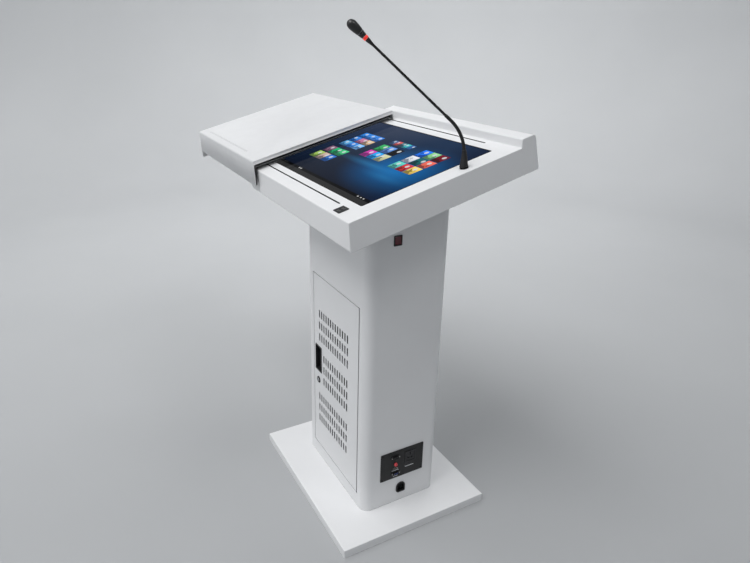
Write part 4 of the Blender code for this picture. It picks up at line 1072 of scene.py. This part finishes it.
def make_display():
    """The display's lit glass, the gasket under it and a pale strip on its left edge, painted in as
    that edge's highlight.
    """
    low, high = span("display_glass", DESK)
    piece("screen_glass", slab([face(low, high, "XY", 0, 0.005, 8)], low.z, high.z, "XY", 0.0004),
          "screen", nodes=["display_glass"], place=DESK)
    gasket = [face(low, high, "XY", 0.001, 0.005, 6), face(low, high, "XY", 0.012)]
    piece("screen_gasket", slab(gasket, low.z - 0.0024, low.z - 0.0002, "XY", 0.0003), "rubber",
          place=DESK)
    # Painted highlight: a white strip for the light line along the glass's left edge.
    trim = rectangle((low.x + 0.0003, low.x + 0.0026), (low.y + 0.005, high.y - 0.005))
    piece("screen_edge_painted_highlight", slab([trim], high.z + 0.0001, high.z + 0.0009, "XY", 0.0002),
          "white", place=DESK)


def make_usb():
    """A clip-in insert with two USB sockets."""
    low, high = span("usb_module", DESK)
    x, v = middle(low, high, "XY")
    wide, tall = USB_HOLE
    spread = 0.0065
    centres = [(x, v - spread), (x, v + spread)]
    ports = [centred(centre, USB_HOLE) for centre in centres]
    insert = start("usb_insert", slab([face(low, high, "XY", 0, 0.0025)] + ports, GAP, high.z,
                                      "XY", 0.0005), DESK)
    weld(insert, slab([face(low, high, "XY", 0.0024, 0.001, 2)] + ports, low.z, 0.001, "XY"))
    finish(insert, "black", nodes=["usb_module"])
    shells, tongues = [], []
    for centre in centres:
        outer = rounded(centred(centre, (wide - 0.0002, tall - 0.0002)), 0.0004, 2)
        inner = rounded(centred(centre, (wide - 0.001, tall - 0.001)), 0.0003, 2)
        shells.append(slab([outer, inner], -0.011, high.z - 0.0003, "XY", 0.0001))
        tongue = centred((centre[0], centre[1] + 0.001), (wide - 0.0026, 0.0018))
        tongues.append(slab([tongue], -0.0112, high.z - 0.002, "XY", 0.0002))
    piece("usb_shells", merged(*shells), "nickel", place=DESK)
    piece("usb_tongues", merged(*tongues), "grey", place=DESK)


# -------------------- sliding cover
def make_cover():
    """The cover's sheet: a top, a leaning skirt, a short lip on the right, a deep left end."""
    low, high = span("cover_shell", DESK)
    left, right, sheet = low.x, high.x, COVER_SHEET
    top = [(COVER_BACK, COVER_TOP), (COVER_FRONT, COVER_TOP)]
    outer = rounded([COVER_FOOT, (COVER_BACK, 0.0015), *top], [0, 0, 0.004, 0.006], 8)
    shell = start("sliding_cover", slab([outer], left + 0.0002, right, "YZ", 0.0003), DESK)
    below, back = 0.04, COVER_BACK - sheet
    inner_foot = (COVER_FOOT[0] + sheet - below * COVER_LEAN.x,
                  COVER_FOOT[1] - below * COVER_LEAN.y)
    inner = [inner_foot, (back, -0.1), (back, COVER_TOP - sheet),
             (COVER_FRONT + sheet * (1 - COVER_LEAN.x), COVER_TOP - sheet)]
    carve(shell, slab([rounded(inner, [0, 0, 0.002, 0.004], 5)], left + sheet, right - sheet,
                      "YZ"))
    open_end = [inner_foot, (back, -0.1), (back, LIP_FOOT),
                (COVER_FRONT + sheet - LIP_RUN, LIP_FOOT)]
    carve(shell, slab([open_end], right - 0.004, right + CLEAR, "YZ"))
    end_foot = COVER_FOOT[1] - COVER_END_DROP
    end_wall = [(COVER_FOOT[0] - COVER_END_DROP * COVER_LEAN.x, end_foot),
                (COVER_BACK, end_foot), *top]
    weld(shell, slab([rounded(end_wall, [0.006, 0.006, 0.004, 0.006], 8)], left, left + sheet,
                     "YZ", 0.0004))
    groove = rounded(rectangle(GROOVE_X, (GROOVE_V - GROOVE_HALF, GROOVE_V + GROOVE_HALF)),
                     GROOVE_HALF - 0.0001, 6)
    carve(shell, slab([groove], COVER_TOP - GROOVE_DEEP, COVER_TOP + CLEAR, "XY"))
    squared(finish(shell, "cover", "cover", ["cover_shell"], 0.0005, 50))


def make_cover_fittings():
    """The groove's inlay; a felt lining, a brush and a seal, black as painted shade; a pale strip
    as a painted light line.
    """
    low, high = span("cover_shell", DESK)
    left, right, sheet, play = low.x, high.x, COVER_SHEET, 0.0002
    half = GROOVE_HALF - 0.0007
    inlay = rounded(rectangle((GROOVE_X[0] + 0.001, GROOVE_X[1] - 0.001),
                              (GROOVE_V - half, GROOVE_V + half)), half - 0.0001, 6)
    piece("cover_groove_inlay", slab([inlay], COVER_TOP - GROOVE_DEEP, COVER_TOP - 0.0006, "XY",
                                     0.0002), "pale", "cover", place=DESK)
    under = COVER_TOP - sheet - play
    # Painted shade: a black felt sheet under the top keeps the space under the cover dark.
    lining = rectangle((left + sheet + 0.002, right - sheet - 0.001),
                       (COVER_FRONT + 0.004, COVER_BACK - 0.004))
    piece("cover_shade_lining", slab([lining], under - 0.0012, under, "XY", 0.0003), "felt", "cover",
          place=DESK)

    # A black brush closes the right end, as painted shade for the dark band under the lip: it hangs
    # behind the lip and runs down the skirt.
    wide, thick, hang = 0.0038, 0.0016, 0.0078
    skirt = (COVER_FOOT[0] + sheet + play, COVER_FOOT[1] + 0.001)
    front = COVER_FRONT + sheet + play
    toe = (skirt[0] + wide, skirt[1])
    last, upper, behind = COVER_BACK - sheet - 0.0008, under - 0.0014, right - 0.02
    brush = rounded([skirt, toe, (front + wide, hang), (last, hang), (last, upper),
                     (front + 0.001, upper)], [0, 0.001, 0.002, 0.001, 0, 0], 4)
    squared(piece("cover_end_shade_brush", slab([brush], behind - thick, behind, "YZ", 0.0003), "brush",
                  "cover", place=DESK))
    # Painted highlight: the thin pale line along the band's lower edge is a pale strip on the
    # brush.
    strip = rectangle((front + wide + 0.001, last - 0.001), (hang - 0.0012, hang + 0.0008))
    piece("cover_painted_light_line", slab([strip], behind + 0.0001, behind + 0.0009, "YZ", 0.0002),
          "pale", "cover", place=DESK)
    # A black seal down the skirt's end, partly painted shade for the dark gap between the skirt and
    # the desk's front face.
    edge = [skirt, toe, (front + wide - 0.001, LIP_FOOT - 0.001),
            (front - LIP_RUN, LIP_FOOT - 0.001)]
    squared(piece("cover_skirt_shade_seal", slab([edge], right - 0.0045, right - 0.0012, "YZ", 0.0004),
                  "rubber", "cover", place=DESK))


# -------------------- microphone
def neck_point(distance):
    """The neck's centre line: a short rise, an arc towards the speaker, a straight stem."""
    ahead, above = NECK_START
    first = min(distance, NECK_STRAIGHT)
    ahead += first * math.cos(NECK_RISE)
    above += first * math.sin(NECK_RISE)
    bend_radius = NECK_ARC / (NECK_RISE - NECK_END)
    angle = NECK_RISE - max(0.0, min(distance - NECK_STRAIGHT, NECK_ARC)) / bend_radius
    ahead += bend_radius * (math.sin(NECK_RISE) - math.sin(angle))
    above += bend_radius * (math.cos(angle) - math.cos(NECK_RISE))
    last = max(0.0, distance - NECK_STRAIGHT - NECK_ARC)
    ahead += last * math.cos(NECK_END)
    above += last * math.sin(NECK_END)
    lean = Vector((-math.sin(MIC_HEADING), -math.cos(MIC_HEADING), 0.0))
    return MIC_FOOT + lean * ahead + Vector((0, 0, above))


def make_mic_base():
    """The socket's flange on the desk, and the ribbed rubber boot that grips the neck."""
    seat = DESK @ Matrix.Translation(MIC_PLACE)
    low = span("mic_socket", seat)[0].z
    piece("mic_flange", turned([
        (0.01, low), (0.01, GAP), (0.0117, GAP), (0.012, 0.0007), (0.012, 0.0014),
        (0.0116, 0.002), (0.011, 0.0022), (0.0085, 0.0022),
    ], seat, 48), "black_gloss", nodes=["mic_socket"])

    rim, steps, ribs = 0.002, 72, 9
    foot, neck = BOOT_RADII
    up = (DESK.to_3x3() @ Vector((0, 0, 1))).normalized()
    along = (neck_point(0.001) - neck_point(0.0)).normalized()
    begin = MIC_FOOT + up * (BOOT_SEAT + rim)
    end = neck_point(0.0) - along * rim
    one, two = begin + (end - begin) / 3, end - along * (end - begin).length / 3
    points = [MIC_FOOT + up * (BOOT_SEAT + GAP), MIC_FOOT + up * (BOOT_SEAT + 0.001)]
    radii = [foot - 0.0004, foot]
    for step in range(steps + 1):
        t = step / steps
        points.append(begin * (1 - t) ** 3 + one * 3 * t * (1 - t) ** 2
                      + two * 3 * t * t * (1 - t) + end * t ** 3)
        groove = 0.00035 * max(0.0, math.sin(2 * math.pi * ribs * t)) * (1 - 0.5 * t)
        radii.append(foot + (neck - foot) * t ** 0.8 - groove)
    points += [neck_point(0.0) - along * 0.0006, neck_point(0.0)]
    radii += [neck, neck - 0.0005]
    piece("mic_rubber_boot", hose(points, radii, 40), "rubber", nodes=["mic_boot"])


def make_neck():
    """The gooseneck: four ribbed sleeves, each bending across one of the neck's joints."""
    links = ("mic_neck_collar", "mic_neck_link_1", "mic_neck_link_2", "mic_neck_link_3")
    middles = [(a + b) / 2 for a, b in zip(NECK_JOINTS, NECK_JOINTS[1:])]
    breaks = [GAP, *middles, STEM_START]
    rib, per_rib, rib_depth = 0.0018, 8, 0.00022
    for index, (first, last) in enumerate(zip(breaks, breaks[1:])):
        count = round((last - first) / rib) * per_rib
        places = [first + (last - first) * step / count for step in range(count + 1)]
        radii = [NECK_RADIUS - rib_depth * (1 - abs(math.cos(math.pi * step / per_rib)))
                 for step in range(count + 1)]
        if index == 3:
            radii[-per_rib:] = [STEM_RADIUS + (NECK_RADIUS - STEM_RADIUS) * (1 - step / per_rib)
                                for step in range(1, per_rib + 1)]
        sleeve = start(f"mic_gooseneck_{index + 1}",
                       hose([neck_point(place) for place in places], radii))
        smooth(sleeve)
        paint(sleeve.data, LOOKS["neck"][0])
        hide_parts(links[index])
        end = last if index < 3 else NECK_JOINTS[3] + 0.013
        neck_point(first)
        neck_point(end)
        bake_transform(sleeve)


def make_stem():
    """The slim stem above the gooseneck, and the cone that widens it under the lit ring."""
    cone = STEM_END - STEM_CONE
    places, radii = [STEM_START - 0.001, STEM_START + 0.001, cone], [STEM_RADIUS] * 3
    steps = 8
    for step in range(1, steps + 1):
        share = step / steps
        ease = share * share * (3 - 2 * share)
        places.append(cone + (STEM_CONE - 0.0006) * share)
        radii.append(STEM_RADIUS + (RING_RADIUS - 0.001 - STEM_RADIUS) * (share + ease) / 2)
    places.append(STEM_END)
    radii.append(RING_RADIUS - 0.0014)
    piece("mic_slim_stem", hose([neck_point(place) for place in places], radii), "stem",
          "microphone", ["mic_stem"])


def make_mic_head():
    """The lit ring, the slotted capsule collar and the teardrop windscreen."""
    head = neck_point(STEM_END)
    along = (neck_point(STEM_END + 0.01) - head).normalized()
    place = Matrix.Translation(head) @ along.to_track_quat("Z", "Y").to_matrix().to_4x4()
    piece("mic_lit_ring", turned([
        (RING_RADIUS - 0.0009, GAP), (RING_RADIUS - 0.0003, 0.0005), (RING_RADIUS, 0.0014),
        (RING_RADIUS, 0.0067), (RING_RADIUS - 0.0003, 0.0075), (RING_RADIUS - 0.0009, 0.0078),
    ], place, 48), "glow", "microphone", ["mic_light_ring"])

    profile = [(0.0064, 0.0081), (0.0071, 0.0085), (0.0076, 0.0094)]
    grooves, steps = 3, 18
    for step in range(1, steps + 1):
        share = step / steps
        dip = 0.00045 * max(0.0, math.sin(2 * math.pi * grooves * share)) ** 0.5
        profile.append((0.0076 + 0.0017 * share - dip, 0.0094 + 0.011 * share))
    profile += [(0.0094, CAPSULE_END - 0.0005), (0.009, CAPSULE_END)]
    piece("mic_capsule_collar", turned(profile, place, 48), "black_gloss", "microphone",
          ["mic_capsule"])

    dome, foot, waist = 0.015, CAPSULE_END + GAP, 0.0097
    body_start, body_end = foot + 0.0024, HEAD_LENGTH - STEM_LENGTH - dome
    profile = [(0.0086, foot), (0.0092, foot + 0.0004), (0.0093, foot + 0.0012),
               (0.0091, foot + 0.0016), (waist, body_start)]
    for step in range(1, 11):
        share = step / 10
        profile.append((waist + (WINDSCREEN_RADIUS - waist) * math.sin(share * math.pi / 2),
                        body_start + (body_end - body_start) * share))
    for step in range(1, 13):
        angle = math.pi / 2 * step / 12.4
        profile.append((WINDSCREEN_RADIUS * math.cos(angle), body_end + dome * math.sin(angle)))
    piece("mic_windscreen_mesh", turned(profile, place, 56), "mesh", "microphone",
          ["mic_windscreen"])


# -------------------- equipment in the column
def make_computer():
    """The small computer on the lower shelf: a case and a fascia with ports and vents."""
    low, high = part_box("mini_computer")
    fascia = low.y + 0.003
    piece("computer_case", block((low.x, fascia + 0.0002, low.z), high, 0.003, 4), "case",
          nodes=["mini_computer"])
    slits = [rounded(rectangle((low.x + 0.09, high.x - 0.02), (z, z + 0.0035)), 0.0016, 3)
             for z in [low.z + 0.018 + 0.0075 * row for row in range(8)]]
    ports = [centred((low.x + 0.03 + 0.019 * index, low.z + 0.022), USB_HOLE)
             for index in range(2)]
    x, z = low.x + 0.038, high.z - 0.026
    outlines = [face(low, high, "XZ", 0, 0.004), circle((x, z), 0.0088)] + slits + ports
    piece("computer_fascia", slab(outlines, low.y, fascia, "XZ", 0.0006), "black")
    button = turned([(0.0082, 0.0), (0.0082, 0.0022), (0.0076, 0.0028), (0.005, 0.0024),
                     (0.003, 0.0023)], frontward(x, fascia, z), 40)
    piece("computer_button", button, "steel_fine")
    piece("computer_lamp", block((low.x + 0.06, low.y - 0.0002, high.z - 0.0275),
                                 (low.x + 0.066, low.y + 0.002, high.z - 0.0245), 0.0004),
          "lamp_blue")


def make_controller():
    """The control unit on the upper shelf, with a window, keys and a knob on its front."""
    low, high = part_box("control_unit")
    panel, z = low.y + 0.003, (low.z + high.z) / 2
    piece("controller_case", block((low.x, panel + 0.0002, low.z), high, 0.0018, 3), "case",
          nodes=["control_unit"])
    window = rounded(centred((low.x + 0.065, z), (0.07, 0.022)), 0.0015, 3)
    piece("controller_panel", slab([face(low, high, "XZ", 0, 0.002, 3), window], low.y, panel,
                                   "XZ", 0.0005), "steel_fine")
    piece("controller_window", block((low.x + 0.028, low.y + 0.0012, z - 0.0125),
                                     (low.x + 0.102, panel, z + 0.0125), 0.0004), "black_gloss")
    keys = [block((x, low.y - 0.0018, foot), (x + 0.011, low.y + 0.001, foot + 0.006), 0.001)
            for x in [low.x + 0.125 + 0.017 * index for index in range(6)]
            for foot in (z - 0.01, z + 0.004)]
    piece("controller_keys", merged(*keys), "grey")
    knob = turned([(0.0105, 0.0), (0.0105, 0.0008), (0.0096, 0.0014), (0.0092, 0.011),
                   (0.0084, 0.012), (0.004, 0.0118)], frontward(high.x - 0.03, low.y, z), 48)
    piece("controller_knob", knob, "black")
    lamps = [block((low.x + 0.012, low.y - 0.0003, foot), (low.x + 0.0145, low.y + 0.001,
                                                           foot + 0.0025), 0.0004)
             for foot in [z - 0.009 + 0.008 * index for index in range(3)]]
    piece("controller_lamps", merged(*lamps), "lamp_green")


def make_power_strip():
    """The power strip on the column's left wall, its sockets facing into the column."""
    low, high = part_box("power_strip")
    front, y = high.x - 0.003, (low.y + high.y) / 2
    piece("strip_body", block(low, (front, high.y, high.z), 0.004, 4), "case",
          nodes=["power_strip"])
    holes, wells = [], []
    for z in [low.z + 0.042 + 0.052 * index for index in range(4)]:
        holes.append(circle((y, z), 0.0155))
        slots = [centred((y, z + 0.0075), (0.0028, 0.0065))]
        slots += [centred((y + across, z - 0.0035), (0.006, 0.0028))
                  for across in (-0.006, 0.006)]
        wells.append(slab([circle((y, z), 0.0152)] + slots, front + 0.0001, front + 0.0009, "YZ",
                          0.0002))
    outer = rounded(rectangle((low.y + 0.003, high.y - 0.003), (low.z + 0.006, high.z - 0.006)),
                    0.004, 4)
    piece("strip_face", slab([outer] + holes, front + 0.0002, high.x, "YZ", 0.0006), "grey")
    piece("strip_wells", merged(*wells), "black")
    piece("strip_switch", block((front + 0.0002, y - 0.008, high.z - 0.034),
                                (high.x + 0.0035, y + 0.008, high.z - 0.014), 0.0016), "red")


# -------------------- CAD pieces that stay
def paint_frame():
    """The steel, board and hidden pieces whose CAD shape is right, each with its material."""
    plain = {
        "steel": ["column_foot_flange", "column_head_flange", "lock_nut", "lock_cam",
                  "socket_back_box", "shelf_lower", "shelf_upper", "display_bracket_left",
                  "display_bracket_right", "pivot_bracket_lower", "pivot_bracket_upper",
                  "pivot_pin_lower", "pivot_pin_upper"]
                 + [f"column_bolt_{index}" for index in range(1, 5)],
        "white": ["door_stop_frame"],
        "board": ["base_board"],
        "case": ["display_module"],
        "slide": [f"slide_{part}_{side}" for part in ("outer", "middle", "inner")
                  for side in ("front", "rear")],
    }
    for look, nodes in plain.items():
        for node in nodes:
            paint(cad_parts[node].data, LOOKS[look][0])


# -------------------- studio
def make_studio():
    """A pale floor that rises at its rim into a round wall."""
    flat, bend, wall, steps = 4.2, 1.8, 5.2, 16
    profile = [(0.02, 0.0), (flat, 0.0)]
    for step in range(1, steps + 1):
        angle = math.pi / 2 * step / steps
        profile.append((flat + bend * math.sin(angle), bend * (1 - math.cos(angle))))
    profile.append((flat + bend, wall))
    floor = start("studio_floor", turned(profile, sides=96, open_top=True))
    floor.data.shade_smooth()
    look = Look("studio_paint", (0.41, 0.42, 0.43), 0.75)
    look.colour(look.clouds(0.8, 3), (0.4, 0.41, 0.42), (0.42, 0.43, 0.44))
    floor.data.materials.append(look.material)


def make_lights():
    """A pale sky, and five soft lamps."""
    world = bpy.data.worlds.new("studio")
    world.use_nodes = True
    sky = world.node_tree.nodes["Background"].inputs
    sky["Color"].default_value = (0.93, 0.96, 1.0, 1.0)
    sky["Strength"].default_value = 0.28
    bpy.context.scene.world = world
    # (name, place, target, size, power, spread in degrees)
    lamps = (
        ("overhead", (0.4, -3.5, 7.0), (0.0, 0.0, 0.8), (4.0, 4.0), 306, 180),
        ("speaker_side", (-1.3, -5.0, 2.8), (0.0, 0.0, 0.5), (2.6, 1.8), 22, 180),
        ("right_high", (3.0, 0.9, 5.8), (0.0, 0.0, 0.4), (1.6, 1.6), 50, 180),
        ("backdrop_wash", (-2.1, 1.6, 4.6), (-4.3, 3.3, 0.0), (3.0, 2.0), 122, 140),
        ("floor_wash", (-2.6, -1.8, 4.6), (-4.2, -1.4, 0.0), (2.0, 2.0), 40, 140),
    )
    for name, place, target, size, power, spread in lamps:
        lamp = bpy.data.lights.new(name, "AREA")
        lamp.shape = "RECTANGLE"
        lamp.size, lamp.size_y = size
        lamp.energy = power
        lamp.spread = math.radians(spread)
        aim = (Vector(target) - Vector(place)).to_track_quat("-Z", "Y")
        start(name, lamp, Matrix.Translation(place) @ aim.to_matrix().to_4x4())


def make_camera():
    """The photograph's viewing angle, from a camera fitted to its straight edges."""
    azimuth, elevation, roll = math.radians(61.92), math.radians(20.15), math.radians(0.59)
    back = Vector((math.sin(azimuth) * math.cos(elevation),
                   -math.cos(azimuth) * math.cos(elevation), math.sin(elevation)))
    right = Vector((math.cos(azimuth), math.sin(azimuth), 0.0))
    axes = Matrix((right, back.cross(right), back)).transposed().to_4x4()
    lens = bpy.data.cameras.new("photo_view")
    lens.sensor_fit = "HORIZONTAL"
    lens.sensor_width = 36.0
    lens.lens = 28.86
    lens.shift_x, lens.shift_y = 0.0333, -0.042
    eye = Matrix.Translation((1.529, -0.9005, 1.4896))
    bpy.context.scene.camera = start("photo_view", lens,
                                     eye @ axes @ Matrix.Rotation(roll, 4, "Z"))


# -------------------- whole scene
bpy.context.scene.view_settings.view_transform = "Standard"
for make in (make_camera, make_studio, make_lights, paint_frame, make_base, make_column,
             make_outlet, make_door, make_switch, make_sockets, make_desk, make_display,
             make_usb, make_cover, make_cover_fittings, make_mic_base, make_neck, make_stem,
             make_mic_head, make_computer, make_controller, make_power_strip):
    make()
